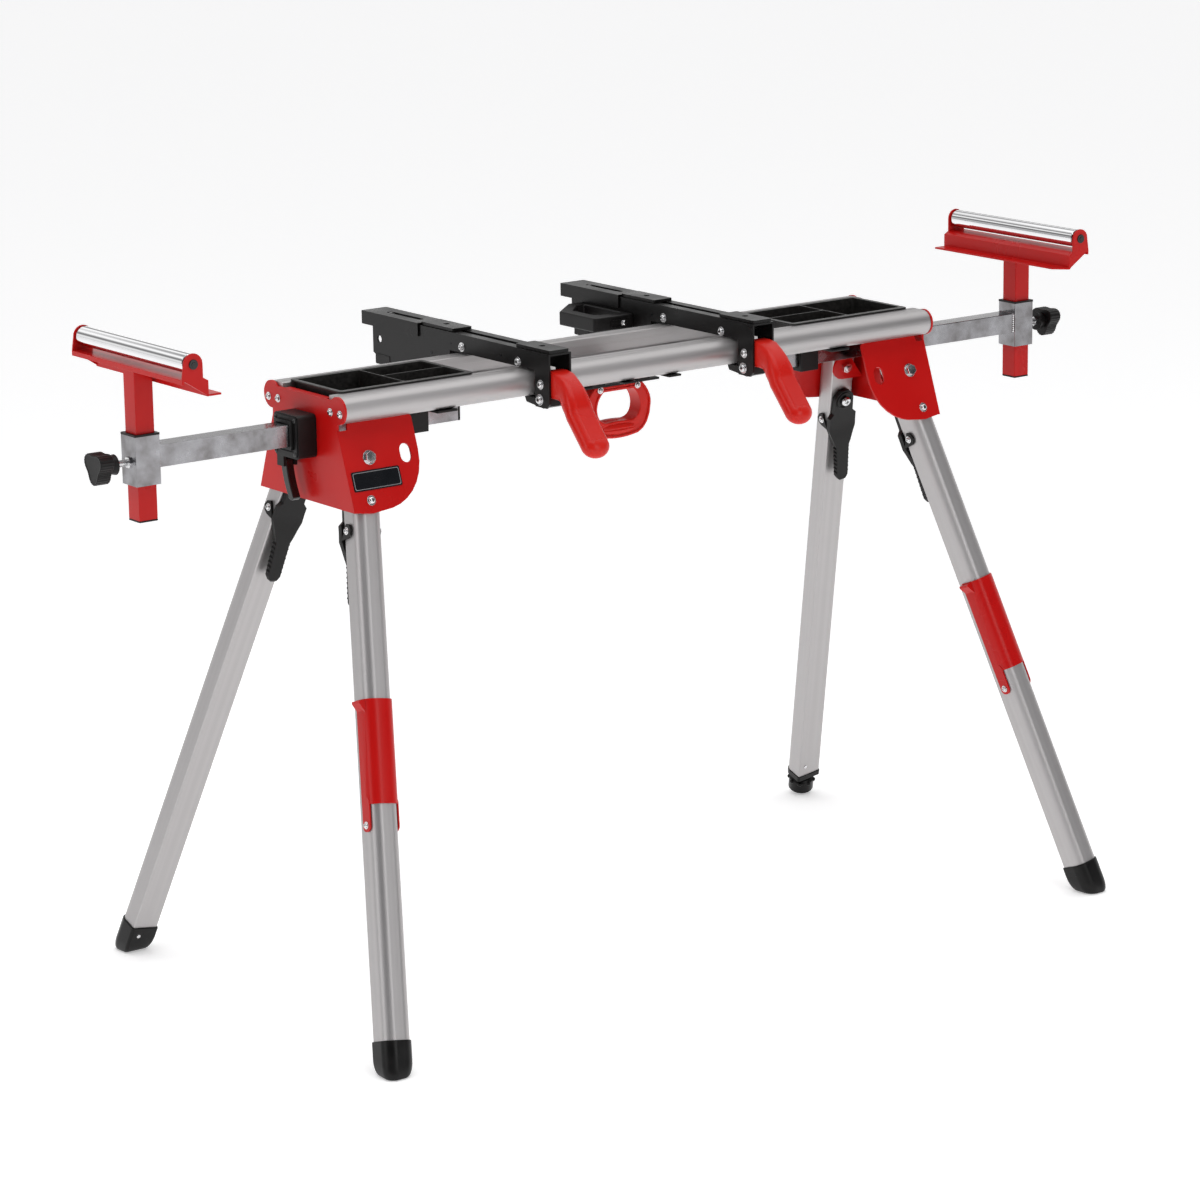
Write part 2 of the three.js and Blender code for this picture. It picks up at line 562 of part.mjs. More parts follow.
const corners = [
  { name: 'front_left', x: -1, y: -1 },
  { name: 'front_right', x: 1, y: -1 },
  { name: 'rear_left', x: -1, y: 1 },
  { name: 'rear_right', x: 1, y: 1 },
];
for (const { name, x, y } of corners) {
  const frame = legFrame(x, y);
  const leg = new THREE.Group();
  leg.applyMatrix4(frame);
  part.add(leg);
  const adjustable = name === 'rear_right';
  add(leg, `leg_${name}`, legTube(adjustable ? SCREW_LEG_LENGTH : LEG_LENGTH), ALUMINIUM);
  add(leg, `leg_pivot_bolt_${name}`, pivotBolt(), ZINC);
  add(leg, `leg_lock_pin_${name}`, lockPin(), ZINC);
  add(leg, `leg_lock_lever_${name}`, lockLever(), BLACK_PLASTIC);
  if (adjustable) {
    add(leg, 'screw_foot_collar', footCollar(), RUBBER);
    add(leg, 'screw_foot_wheel', wheelFoot(frame), RUBBER);
  } else {
    add(leg, `leg_shoe_${name}`, legShoe(frame), RUBBER);
  }
  if (y < 0) {
    add(leg, `fold_catch_${name}`, foldCatch(), RED);
  }
}

// Saw mounting brackets ------------------------------------------------------------------------
const SLOT_HALF = 4.5;
const BLOCK_HALF_X = 15;
const BLOCK_Z = BRACKET_TOP + GAP;

function sawBracket() {
  const notch = NOSE_Y + NOSE_RADIUS + 2;
  const over = BEAM_TOP + 1.5;
  const side = polygon([
    [BRACKET_FRONT, BRACKET_TOP], [BRACKET_FRONT, 738], [-116, 732], [-notch, 732], [-notch, over],
    [notch, over], [notch, 737], [263, 737], [263, 749], [BRACKET_BACK, 751], [BRACKET_BACK, BRACKET_TOP],
  ]);
  const inner = BRACKET_SIDE - BRACKET_SHEET;
  const hollow = box(-inner, inner, BRACKET_FRONT - 1, BRACKET_BACK + 1, 700, BRACKET_TOP - BRACKET_SHEET);
  const slot = roundedRect(-SLOT_HALF, -112, SLOT_HALF, 152, SLOT_HALF - 0.1);
  const capSlot = roundedRect(-SLOT_HALF, 178, SLOT_HALF, 256, SLOT_HALF - 0.1);
  return sweep(side, -BRACKET_SIDE, BRACKET_SIDE, FACING_X)
    .subtract(hollow)
    .subtract(sweep(slot, BRACKET_TOP - 5, BRACKET_TOP + 1))
    .subtract(sweep(capSlot, BRACKET_TOP - 5, BRACKET_TOP + 1))
    .subtract(bar([-30, 253, 770], [30, 253, 770], 5));
}

// Cap that slides out of the bracket's rear end to support a deeper saw.
function rearCap() {
  const inner = BRACKET_SIDE + 0.4;
  const outer = inner + 2;
  const skin = box(-outer, outer, 160.5, 290, 786, BRACKET_TOP + 2.6);
  const hollow = box(-inner, inner, 159, 287.5, 785, BRACKET_TOP + 0.5);
  return skin.subtract(hollow).subtract(sweep(roundedRect(-4, 178, 4, 256, 3.9), BRACKET_TOP - 2, BRACKET_TOP + 4));
}

// Flat clamping block for one saw bolt, with a rib in the bracket's slot.
function slidingBlock(middle) {
  const half = 36;
  const plate = sweep(roundedRect(-BLOCK_HALF_X, middle - half, BLOCK_HALF_X, middle + half, 2), BLOCK_Z, BLOCK_Z + 4);
  const rib = box(-SLOT_HALF + 0.5, SLOT_HALF - 0.5, middle - 22, middle + 22, BLOCK_Z - 4, BLOCK_Z + 1);
  return plate.add(rib).subtract(bar([0, middle, BLOCK_Z - 6], [0, middle, BLOCK_Z + 6], BOLT_RADIUS + 0.3));
}

// Over-centre lever: a root between the bracket's sides and a broad hanging handle.
function clampLever() {
  const rootSide = BRACKET_SIDE - BRACKET_SHEET - 0.7;
  const gripSide = 19;
  const root = new THREE.Shape();
  root.moveTo(-98, 748);
  root.lineTo(-98, 768);
  root.quadraticCurveTo(-98, 780, -110, 780);
  root.lineTo(-123, 780);
  root.quadraticCurveTo(-140, 779, -153, 764);
  root.lineTo(-136, 745);
  root.lineTo(-102, 744.5);
  const grip = new THREE.Shape();
  grip.moveTo(-147, 769);
  grip.lineTo(-212, 691);
  grip.quadraticCurveTo(-214, 674, -197, 671);
  grip.lineTo(-139, 738);
  grip.quadraticCurveTo(-134, 744, -127, 744.5);
  const tip = roundedRect(-gripSide, 669, gripSide, 820, gripSide - 0.1);
  const handle = sweep(grip, -gripSide, gripSide, FACING_X, 5).intersect(sweep(tip, -230, -100, FACING_Y, 4));
  return sweep(root, -rootSide, rootSide, FACING_X, 4).add(handle);
}

function clampJaw() {
  const rootSide = BRACKET_SIDE - BRACKET_SHEET - 0.7;
  return sweep(polygon([
    [-112, 733], [-104, 730], [-68, 734], [-64, 742.3], [-96, 742.3], [-112, 742.3],
  ]), -rootSide, rootSide, FACING_X);
}

BRACKET_X.forEach((x, i) => {
  const side = ends[i].side;
  const group = new THREE.Group();
  group.position.x = x;
  part.add(group);
  add(group, `saw_bracket_${side}`, sawBracket(), BLACK_STEEL);
  add(group, `bracket_cap_${side}`, rearCap(), BLACK_STEEL);
  add(group, `block_front_${side}`, slidingBlock(-85), BLACK_STEEL);
  add(group, `block_rear_${side}`, slidingBlock(123.5), BLACK_STEEL);
  add(group, `clamp_lever_${side}`, clampLever(), RED_PLASTIC);
  add(group, `clamp_jaw_${side}`, clampJaw(), BLACK_PLASTIC);
});

// Moulded hand grip on the inner side of the right bracket.
function sideGrip() {
  const face = -BRACKET_SIDE - GAP;
  const outline = polygon([[face, 130], [face - 61, 130], [face - 64, 133], [face - 64, 209], [face - 20, 249], [face, 249]]);
  const opening = polygon([[face - 6, 150], [face - 40, 150], [face - 46, 156], [face - 46, 202], [face - 17, 231], [face - 6, 231]]);
  return sweep(outline, 763.5, 782.5).subtract(sweep(opening, 760, 790));
}
const gripGroup = new THREE.Group();
gripGroup.position.x = BRACKET_X[1];
part.add(gripGroup);
add(gripGroup, 'side_grip', sideGrip(), BLACK_PLASTIC);

// Carry handle and its mounting ----------------------------------------------------------------
const HANDLE_TOP = 723.6;

function carryHandle() {
  const outer = new THREE.Shape();
  outer.moveTo(-38, HANDLE_TOP);
  outer.lineTo(38, HANDLE_TOP);
  outer.quadraticCurveTo(53, 708, 52, 694);
  outer.quadraticCurveTo(49, 656, 20, 655);
  outer.quadraticCurveTo(0, 652, -20, 655);
  outer.quadraticCurveTo(-49, 656, -52, 694);
  outer.quadraticCurveTo(-53, 708, -38, HANDLE_TOP);
  const opening = new THREE.Shape();
  opening.moveTo(-24, 716);
  opening.quadraticCurveTo(-34, 708, -35, 694);
  opening.quadraticCurveTo(-34, 676, -18, 675);
  opening.quadraticCurveTo(0, 677, 18, 675);
  opening.quadraticCurveTo(34, 676, 35, 694);
  opening.quadraticCurveTo(34, 708, 24, 716);
  return sweep(outer, -12, 12, FACING_Y, 5).subtract(sweep(opening, -20, 20, FACING_Y, 5));
}

function handleMount() {
  let solid = box(-62, 62, -17, 17, HANDLE_TOP + GAP, HANDLE_TOP + 3.4);
  for (const x of [-36, 36]) {
    solid = solid.add(box(x - 10, x + 10, -17, 17, HANDLE_TOP + 2, BEAM_BOTTOM - 1));
    solid = solid.add(box(x - 10, x + 10, -84, 84, 739.8, BEAM_BOTTOM - GAP));
  }
  return solid;
}

const handleGroup = new THREE.Group();
handleGroup.position.x = HANDLE_X;
part.add(handleGroup);
add(handleGroup, 'carry_handle', carryHandle(), RED_PLASTIC);
add(handleGroup, 'handle_mount', handleMount(), BLACK_STEEL);

export default part;
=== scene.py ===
import json
import math

import bmesh
import bpy
from mathutils import Matrix, Vector


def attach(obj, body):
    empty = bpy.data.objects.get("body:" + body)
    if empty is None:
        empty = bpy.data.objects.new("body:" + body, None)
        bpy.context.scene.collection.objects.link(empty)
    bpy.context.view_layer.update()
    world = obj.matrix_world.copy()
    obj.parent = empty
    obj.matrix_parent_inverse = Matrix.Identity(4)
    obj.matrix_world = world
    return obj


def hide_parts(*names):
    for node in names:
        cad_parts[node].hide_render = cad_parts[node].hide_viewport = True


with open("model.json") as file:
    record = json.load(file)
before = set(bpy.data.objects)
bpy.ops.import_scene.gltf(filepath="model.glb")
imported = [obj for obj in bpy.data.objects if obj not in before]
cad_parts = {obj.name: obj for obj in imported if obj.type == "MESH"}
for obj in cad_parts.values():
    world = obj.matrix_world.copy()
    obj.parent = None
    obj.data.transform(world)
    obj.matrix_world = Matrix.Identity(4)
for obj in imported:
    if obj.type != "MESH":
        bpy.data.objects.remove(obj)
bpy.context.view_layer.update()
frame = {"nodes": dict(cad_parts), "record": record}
BODIES = frame["record"]["behaviour"]["bodies"]
body_of = {node: body for body, nodes in BODIES.items() for node in nodes}
MM = 0.001


# ---------------------------------------------------------------- studio
# A pale floor, a bright backdrop behind the stand, a dimmer room in front with three large
# soft lamps, and a long lens that looks slightly down on the front left corner.
studio = bpy.context.scene
studio.view_settings.view_transform = "Standard"

LENS_PLACE = (-3.16886, -4.2153, 1.73487)
LENS_TURN = math.radians(-36.73)
LENS_RISE = math.radians(13.829)
LENS_ROLL = math.radians(-0.805)
TO_BACKDROP = (0.56, 0.75, 0.35)

lens_back = Vector((
    math.sin(LENS_TURN) * math.cos(LENS_RISE),
    -math.cos(LENS_TURN) * math.cos(LENS_RISE),
    math.sin(LENS_RISE),
))
camera_data = bpy.data.cameras.new("camera")
camera_data.lens = 124.9
camera_data.clip_end = 80.0
camera = bpy.data.objects.new("camera", camera_data)
camera.location = LENS_PLACE
camera.rotation_mode = "QUATERNION"
level = (-lens_back).to_track_quat("-Z", "Y").to_matrix()
camera.rotation_quaternion = (Matrix.Rotation(LENS_ROLL, 3, lens_back) @ level).to_quaternion()
studio.collection.objects.link(camera)
studio.camera = camera

room = bpy.data.worlds.new("studio_room")
room.use_nodes = True
room_light = room.node_tree.nodes["Background"]
room_way = room.node_tree.nodes.new("ShaderNodeTexCoord")
room_depth = room.node_tree.nodes.new("ShaderNodeVectorMath")
room_depth.operation = "DOT_PRODUCT"
room_depth.inputs[1].default_value = TO_BACKDROP
room_shade = room.node_tree.nodes.new("ShaderNodeValToRGB")
room_shade.color_ramp.elements[0].position = 0.05
room_shade.color_ramp.elements[0].color = (0.16, 0.16, 0.17, 1.0)
room_shade.color_ramp.elements[1].position = 0.45
room_shade.color_ramp.elements[1].color = (1.0, 1.0, 1.0, 1.0)
room_height = room.node_tree.nodes.new("ShaderNodeSeparateXYZ")
room_bands = room.node_tree.nodes.new("ShaderNodeValToRGB")
for position, shade in ((0.06, 1.0), (0.16, 1.0), (0.25, 0.22), (0.36, 0.30), (0.44, 1.1), (0.50, 1.1),
                        (0.54, 0.28), (0.62, 0.35), (0.72, 1.5), (1.0, 1.6)):
    band = room_bands.color_ramp.elements.new(position)
    band.color = (shade, shade, shade, 1.0)
room_bands.color_ramp.elements[0].color = (1.0, 1.0, 1.0, 1.0)
room_mix = room.node_tree.nodes.new("ShaderNodeVectorMath")
room_mix.operation = "MULTIPLY"
room.node_tree.links.new(room_way.outputs["Generated"], room_depth.inputs[0])
room.node_tree.links.new(room_depth.outputs["Value"], room_shade.inputs["Fac"])
room.node_tree.links.new(room_way.outputs["Generated"], room_height.inputs["Vector"])
room.node_tree.links.new(room_height.outputs["Z"], room_bands.inputs["Fac"])
room.node_tree.links.new(room_shade.outputs["Color"], room_mix.inputs[0])
room.node_tree.links.new(room_bands.outputs["Color"], room_mix.inputs[1])
room.node_tree.links.new(room_mix.outputs["Vector"], room_light.inputs["Color"])
room_light.inputs["Strength"].default_value = 1.05
studio.world = room

LAMPS = (
    ("lamp_over", (-0.6, -0.9, 3.6), (3.0, 2.0), 38.0),
    ("lamp_front", (0.6, -4.6, 2.2), (2.0, 2.6), 40.0),
    ("lamp_left", (-4.6, 0.2, 1.8), (2.0, 2.6), 34.0),
)
for name, place, size, power in LAMPS:
    lamp_data = bpy.data.lights.new(name, "AREA")
    lamp_data.shape = "RECTANGLE"
    lamp_data.size = size[0]
    lamp_data.size_y = size[1]
    lamp_data.energy = power
    lamp = bpy.data.objects.new(name, lamp_data)
    lamp.location = place
    lamp.rotation_mode = "QUATERNION"
    lamp.rotation_quaternion = (Vector((0.0, 0.0, 0.55)) - Vector(place)).to_track_quat("-Z", "Y")
    studio.collection.objects.link(lamp)

floor_bm = bmesh.new()
bmesh.ops.create_grid(floor_bm, x_segments=1, y_segments=1, size=14.0)
bmesh.ops.translate(floor_bm, verts=floor_bm.verts, vec=(0.0, 0.0, -0.0005))
floor_mesh = bpy.data.meshes.new("floor")
floor_bm.to_mesh(floor_mesh)
floor_bm.free()
floor = bpy.data.objects.new("floor", floor_mesh)
studio.collection.objects.link(floor)
floor_paint = bpy.data.materials.new("floor_paint")
floor_paint.use_nodes = True
floor_shader = floor_paint.node_tree.nodes["Principled BSDF"]
floor_shader.inputs["Base Color"].default_value = (0.94, 0.94, 0.94, 1.0)
floor_shader.inputs["Roughness"].default_value = 0.95
floor_shader.inputs["Emission Color"].default_value = (1.0, 1.0, 1.0, 1.0)
floor_shader.inputs["Emission Strength"].default_value = 0.35
floor_mesh.materials.append(floor_paint)


# ---------------------------------------------------------------- beams
# Two rails of satin anodised aluminium extrusion, each with a round outer nose, a
# flat top with one shallow die groove, and a flat inner side. The end plates close them.
surface_grain = bpy.data.node_groups.new("surface_grain", "ShaderNodeTree")
surface_grain.interface.new_socket("Place", in_out="INPUT", socket_type="NodeSocketVector")
for label in ("Grain Scale", "Patch Scale"):
    surface_grain.interface.new_socket(label, in_out="INPUT", socket_type="NodeSocketFloat")
for label in ("Grain", "Patch"):
    surface_grain.interface.new_socket(label, in_out="OUTPUT", socket_type="NodeSocketFloat")
take = surface_grain.nodes.new("NodeGroupInput")
give = surface_grain.nodes.new("NodeGroupOutput")
for label, detail in (("Grain", 2.0), ("Patch", 4.0)):
    noise = surface_grain.nodes.new("ShaderNodeTexNoise")
    noise.inputs["Detail"].default_value = detail
    surface_grain.links.new(take.outputs["Place"], noise.inputs["Vector"])
    surface_grain.links.new(take.outputs[label + " Scale"], noise.inputs["Scale"])
    surface_grain.links.new(noise.outputs["Fac"], give.inputs[label])


def finish(name, dark, light, metallic, rough, grain=900.0, patch=14.0, bump=0.02,
           drawn=1.0, made_along=False, gleam=0.5):
    """A finish between two colours and two roughnesses. Grain runs along z where drawn is over 1."""
    material = bpy.data.materials.new(name)
    material.use_nodes = True
    tree = material.node_tree
    shader = tree.nodes["Principled BSDF"]
    shader.inputs["Metallic"].default_value = metallic
    shader.inputs["Specular IOR Level"].default_value = gleam
    if made_along:
        where = tree.nodes.new("ShaderNodeAttribute")
        where.attribute_name = "as_made"
        place = where.outputs["Vector"]
    else:
        where = tree.nodes.new("ShaderNodeTexCoord")
        place = where.outputs["Object"]
    stretch = tree.nodes.new("ShaderNodeMapping")
    stretch.inputs["Scale"].default_value = (1.0, 1.0, 1.0 / drawn)
    tree.links.new(place, stretch.inputs["Vector"])
    effect = tree.nodes.new("ShaderNodeGroup")
    effect.node_tree = surface_grain
    effect.inputs["Grain Scale"].default_value = grain
    effect.inputs["Patch Scale"].default_value = patch
    tree.links.new(stretch.outputs["Vector"], effect.inputs["Place"])
    spread = tree.nodes.new("ShaderNodeMapRange")
    spread.inputs["From Min"].default_value = 0.25
    spread.inputs["From Max"].default_value = 0.75
    tree.links.new(effect.outputs["Patch"], spread.inputs["Value"])
    colour = tree.nodes.new("ShaderNodeMix")
    colour.data_type = "RGBA"
    colour.inputs[6].default_value = (*dark, 1.0)
    colour.inputs[7].default_value = (*light, 1.0)
    tree.links.new(spread.outputs["Result"], colour.inputs["Factor"])
    tree.links.new(colour.outputs[2], shader.inputs["Base Color"])
    sheen = tree.nodes.new("ShaderNodeMapRange")
    sheen.inputs["From Min"].default_value = 0.3
    sheen.inputs["From Max"].default_value = 0.7
    sheen.inputs["To Min"].default_value = rough[0]
    sheen.inputs["To Max"].default_value = rough[1]
    tree.links.new(effect.outputs["Patch"], sheen.inputs["Value"])
    tree.links.new(sheen.outputs["Result"], shader.inputs["Roughness"])
    height = tree.nodes.new("ShaderNodeBump")
    height.inputs["Strength"].default_value = bump
    height.inputs["Distance"].default_value = 0.0004
    tree.links.new(effect.outputs["Grain"], height.inputs["Height"])
    tree.links.new(height.outputs["Normal"], shader.inputs["Normal"])
    return material


def sharp_edges(bm, angle):
    limit = math.radians(angle)
    folds = [edge for edge in bm.edges if len(edge.link_faces) == 2]
    return [edge for edge in folds if edge.calc_face_angle(0.0) > limit]


def round_over(bm, edges, width, segments=2):
    bmesh.ops.bevel(
        bm, geom=edges, offset=width * MM, offset_type="OFFSET", segments=segments, profile=0.5,
        affect="EDGES", clamp_overlap=True, material=-1,
    )


def raise_outline(bm, outline, low, high):
    """A flat outline in mm, raised along z from low to high."""
    base = [bm.verts.new((x * MM, y * MM, low * MM)) for x, y in outline]
    lifted = bmesh.ops.extrude_face_region(bm, geom=[bm.faces.new(base)])["geom"]
    top = [v for v in lifted if isinstance(v, bmesh.types.BMVert)]
    bmesh.ops.translate(bm, verts=top, vec=(0.0, 0.0, (high - low) * MM))
    made = set(base + top)
    bmesh.ops.recalc_face_normals(bm, faces=[face for face in bm.faces if face.verts[0] in made])


def arc(x, y, radius, start, end, steps):
    turns = [math.radians(start + (end - start) * i / steps) for i in range(steps + 1)]
    return [(x + radius * math.cos(turn), y + radius * math.sin(turn)) for turn in turns]


def piece(name, bm, material, body, replaces=(), place=None, soft_below=32.0):
    """Finishes a mesh made in its own place as a named piece that rides on a body."""
    as_made = bm.verts.layers.float_vector.new("as_made")
    for v in bm.verts:
        v[as_made] = v.co
    if place:
        bmesh.ops.transform(bm, matrix=place, verts=bm.verts)
    for face in bm.faces:
        face.smooth = True
    for edge in sharp_edges(bm, soft_below):
        edge.smooth = False
    mesh = bpy.data.meshes.new(name)
    bm.to_mesh(mesh)
    bm.free()
    mesh.materials.append(material)
    made = bpy.data.objects.new(name, mesh)
    studio.collection.objects.link(made)
    true_faces = made.modifiers.new("true_faces", "WEIGHTED_NORMAL")
    true_faces.keep_sharp = True
    if replaces:
        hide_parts(*replaces)
    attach(made, body)
    return made


def own_place(x_axis, y_axis, z_axis, origin=(0.0, 0.0, 0.0)):
    """Where a piece made in its own axes stands in the stand; the origin is in mm."""
    turn = Matrix((x_axis, y_axis, z_axis)).transposed().to_4x4()
    return Matrix.Translation(Vector(origin) * MM) @ turn


anodised = finish(
    "anodised_aluminium", (0.44, 0.425, 0.425), (0.50, 0.485, 0.485), 0.94, (0.42, 0.50),
    grain=1100.0, patch=160.0, bump=0.10, drawn=90.0, made_along=True,
)

BEAM_HALF = 466.7
BEAM_LOW = 743.0
BEAM_TOP = 776.0
BEAM_IN = 52.0
NOSE_OUT = 73.5
NOSE_RADIUS = 16.5
GROOVE = 61.0

for name, side in (("front_beam", -1), ("rear_beam", 1)):
    outline = [(BEAM_IN, BEAM_LOW)]
    outline += arc(NOSE_OUT, BEAM_LOW + NOSE_RADIUS, NOSE_RADIUS, -90, 90, 40)
    outline += [(GROOVE + 0.8, BEAM_TOP), (GROOVE + 0.5, BEAM_TOP - 0.7)]
    outline += [(GROOVE - 0.5, BEAM_TOP - 0.7)]
    outline += [(GROOVE - 0.8, BEAM_TOP), (BEAM_IN + 0.8, BEAM_TOP), (BEAM_IN, BEAM_TOP - 0.8)]
    outline += [(BEAM_IN, 766.0), (BEAM_IN + 4.0, 765.0), (BEAM_IN + 4.0, 753.0), (BEAM_IN, 752.0)]
    beam = bmesh.new()
    raise_outline(beam, outline, -BEAM_HALF, BEAM_HALF)
    place = own_place((0, side, 0), (0, 0, 1), (side, 0, 0))
    piece("v_" + name, beam, anodised, "stand", (name,), place, soft_below=24.0)


# ---------------------------------------------------------------- end plates
# One sheet of 3 mm steel at each end, cut, bent back along both sloping sides as leg
# flanges, and powder coated red. Screws hold it to the beams; a blank label is stuck on.
def solid_of(node, rounding, angle=40.0, segments=2):
    """The node's solid with its loose faces joined and its edges rounded as the real ones are."""
    bm = bmesh.new()
    bm.from_mesh(frame["nodes"][node].data)
    bmesh.ops.remove_doubles(bm, verts=bm.verts, dist=0.00002)
    bmesh.ops.dissolve_limit(bm, angle_limit=math.radians(0.6), verts=bm.verts, edges=bm.edges)
    round_over(bm, sharp_edges(bm, angle), rounding, segments)
    return bm


def dressed(node, material, slot, rounding, **how):
    return piece("v_" + node, solid_of(node, rounding, **how), material, body_of[node], (node,))


def facing(centre, axis):
    """A place whose z axis points along axis from a centre in mm."""
    turn = Vector(axis).to_track_quat("Z", "X").to_matrix().to_4x4()
    return Matrix.Translation(Vector(centre) * MM) @ turn


def turned(bm, place, radius, low, high, edge=0.0, steps=32, top=None):
    """A turned disc or cone, its far rim rounded over."""
    made = bmesh.ops.create_cone(
        bm, cap_ends=True, segments=steps, radius1=radius * MM, radius2=(top or radius) * MM,
        depth=(high - low) * MM,
    )["verts"]
    bmesh.ops.translate(bm, verts=made, vec=(0.0, 0.0, (low + high) / 2 * MM))
    own = set(made)
    kept = set(bm.verts) - own
    if edge:
        top_level = (high - 0.001) * MM
        round_over(bm, [
            e for e in bm.edges if all(end in own and end.co.z > top_level for end in e.verts)
        ], edge, 4)
    made = [v for v in bm.verts if v not in kept]
    bmesh.ops.transform(bm, matrix=place, verts=made)


def add_screw(bm, centre, axis, radius, washer=True):
    """A pan-headed screw with a cross recess, standing on the surface at centre."""
    place = facing(centre, axis)
    seat = 0.0
    if washer:
        turned(bm, place, radius * 1.42, -0.4, 0.7, 0.3)
        seat = 0.6
    head = radius * 0.72
    before = set(bm.verts)
    turned(bm, Matrix.Identity(4), radius, seat - 0.4, seat + head, head * 0.7, 24)
    crown = max(
        (f for f in bm.faces if f.verts[0] not in before), key=lambda f: f.calc_center_median().z,
    )
    bmesh.ops.inset_region(bm, faces=[crown], thickness=radius * 0.02)
    for v in crown.verts:
        turn = math.degrees(math.atan2(v.co.y, v.co.x)) % 90.0
        off_arm = min(turn, 90.0 - turn)
        length = radius * (0.52 if off_arm < 5 else 0.50 if off_arm < 20 else 0.20) * MM
        flat = Vector((v.co.x, v.co.y, 0.0)).normalized() * length
        v.co = Vector((flat.x, flat.y, v.co.z))
    sunk = bmesh.ops.extrude_face_region(bm, geom=[crown])["geom"]
    bmesh.ops.delete(bm, geom=[crown], context="FACES_ONLY")
    floor_verts = [v for v in sunk if isinstance(v, bmesh.types.BMVert)]
    bmesh.ops.translate(bm, verts=floor_verts, vec=(0.0, 0.0, -head * 0.5 * MM))
    made = [v for v in bm.verts if v not in before]
    bmesh.ops.transform(bm, matrix=place, verts=made)


def screws(name, body, spots):
    """A set of screws on a body: each spot is a centre in mm, the way out and the head's radius."""
    bm = bmesh.new()
    for centre, axis, radius in spots:
        add_screw(bm, centre, axis, radius)
    return piece(name, bm, bright_zinc, body)


def rounded_rect(x0, y0, x1, y1, radius, steps=6):
    corners = ((x1, y0, -1, 1, -90), (x1, y1, -1, -1, 0), (x0, y1, 1, -1, 90), (x0, y0, 1, 1, 180))
    return [
        point for x, y, dx, dy, start in corners
        for point in arc(x + dx * radius, y + dy * radius, radius, start, start + 90, steps)
    ]


red_coat = finish("red_powder_coat", (0.50, 0.004, 0.0035), (0.54, 0.006, 0.005), 0.0, (0.26, 0.34),
                  grain=520.0, patch=9.0, bump=0.08, gleam=0.24)
bright_zinc = finish("bright_zinc", (0.62, 0.62, 0.63), (0.80, 0.80, 0.80), 1.0, (0.14, 0.26),
                     grain=900.0, patch=90.0, bump=0.04)
# The label's black is also the painted shade inside the saw brackets' small holes.
label_and_hole_shade_black = finish("label_and_hole_shade_black", (0.003, 0.004, 0.006), (0.005, 0.006, 0.008), 0.0, (0.24, 0.32),
                     grain=600.0, patch=30.0, bump=0.01, gleam=0.22)
label_grey = finish("label_grey", (0.20, 0.20, 0.21), (0.26, 0.26, 0.27), 0.0, (0.25, 0.35), bump=0.01)

SIDES = (("left", -1), ("right", 1))
CORNERS = (("front_left", -1, -1), ("front_right", 1, -1), ("rear_left", -1, 1), ("rear_right", 1, 1))
SPLAY = math.radians(19.3)
PLATE_FACE = 470.0
FLANGE_TOP = (470.0, 73.0, 733.3)

for side, x in SIDES:
    dressed("end_plate_" + side, red_coat, "red_paint", 0.8)
    beam_screws = [((x * PLATE_FACE, y, 756.0), (x, 0, 0), 3.6) for y in (-79.7, -58.6, 58.6, 79.7)]
    screws("beam_screws_" + side, "stand", beam_screws)


def flange_place(x, y):
    """A leg flange's own axes: x into the stand, y up the slope, z straight out of its face."""
    across = (-x, 0, 0)
    out = (0, y * math.cos(SPLAY), math.sin(SPLAY))
    up = Vector(out).cross(Vector(across))
    return own_place(across, up, out, (x * FLANGE_TOP[0], y * FLANGE_TOP[1], FLANGE_TOP[2]))


for corner, x, y in CORNERS:
    place = flange_place(x, y)
    way = -1 if (place.to_3x3() @ Vector((0, 1, 0))).z > 0 else 1
    low_bolt = place @ (Vector((27.0, way * 88.0, 0.0)) * MM) / MM
    screws("flange_bolt_" + corner, "stand", [(low_bolt, place.to_3x3() @ Vector((0, 0, 1)), 4.4)])

LABEL = (6.0, 51.0, 76.0, 75.5)
label_spot = flange_place(-1, -1)
label_way = -1 if (label_spot.to_3x3() @ Vector((0, 1, 0))).z > 0 else 1
for name, material, inset, low, high in (
    ("label_plate", label_and_hole_shade_black, 0.0, -0.2, 0.7),
    ("label_line", label_grey, 1.6, 0.0, 0.85),
    ("label_face", label_and_hole_shade_black, 2.5, 0.0, 0.95),
):
    x0, y0, x1, y1 = LABEL
    rows = sorted((label_way * (y0 + inset), label_way * (y1 - inset)))
    label = bmesh.new()
    raise_outline(label, rounded_rect(x0 + inset, rows[0], x1 - inset, rows[1], 2.2), low, high)
    piece(name, label, material, "stand", place=label_spot)


# ---------------------------------------------------------------- arm housings
# Moulded black nylon blocks screwed on the plates, which guide the arms, with a
# glossy cam lever on a pin beneath and a plain moulded guide under the beams inboard.
black_moulding = finish("black_moulding", (0.005, 0.0045, 0.0045), (0.010, 0.009, 0.009), 0.0, (0.34, 0.46),
                        grain=1700.0, patch=26.0, bump=0.18, gleam=0.24)
black_gloss = finish("black_gloss", (0.006, 0.0058, 0.0058), (0.010, 0.0095, 0.0095), 0.0, (0.12, 0.22),
                     grain=500.0, patch=24.0, bump=0.03)
dark_screw = finish("dark_screw", (0.05, 0.05, 0.05), (0.09, 0.09, 0.09), 0.8, (0.25, 0.40), bump=0.02)

def add_ring(bm, outlines, low, high):
    """A wall between two outlines of as many points, raised along z from low to high."""
    edges = []
    for outline in outlines:
        corners = [bm.verts.new((a * MM, b * MM, low * MM)) for a, b in outline]
        edges += [bm.edges.new(pair) for pair in zip(corners, corners[1:] + corners[:1])]
    wall = bmesh.ops.bridge_loops(bm, edges=edges)["faces"]
    raised = bmesh.ops.extrude_face_region(bm, geom=wall)["geom"]
    top = [v for v in raised if isinstance(v, bmesh.types.BMVert)]
    bmesh.ops.translate(bm, verts=top, vec=(0.0, 0.0, (high - low) * MM))
    bmesh.ops.recalc_face_normals(bm, faces=bm.faces)


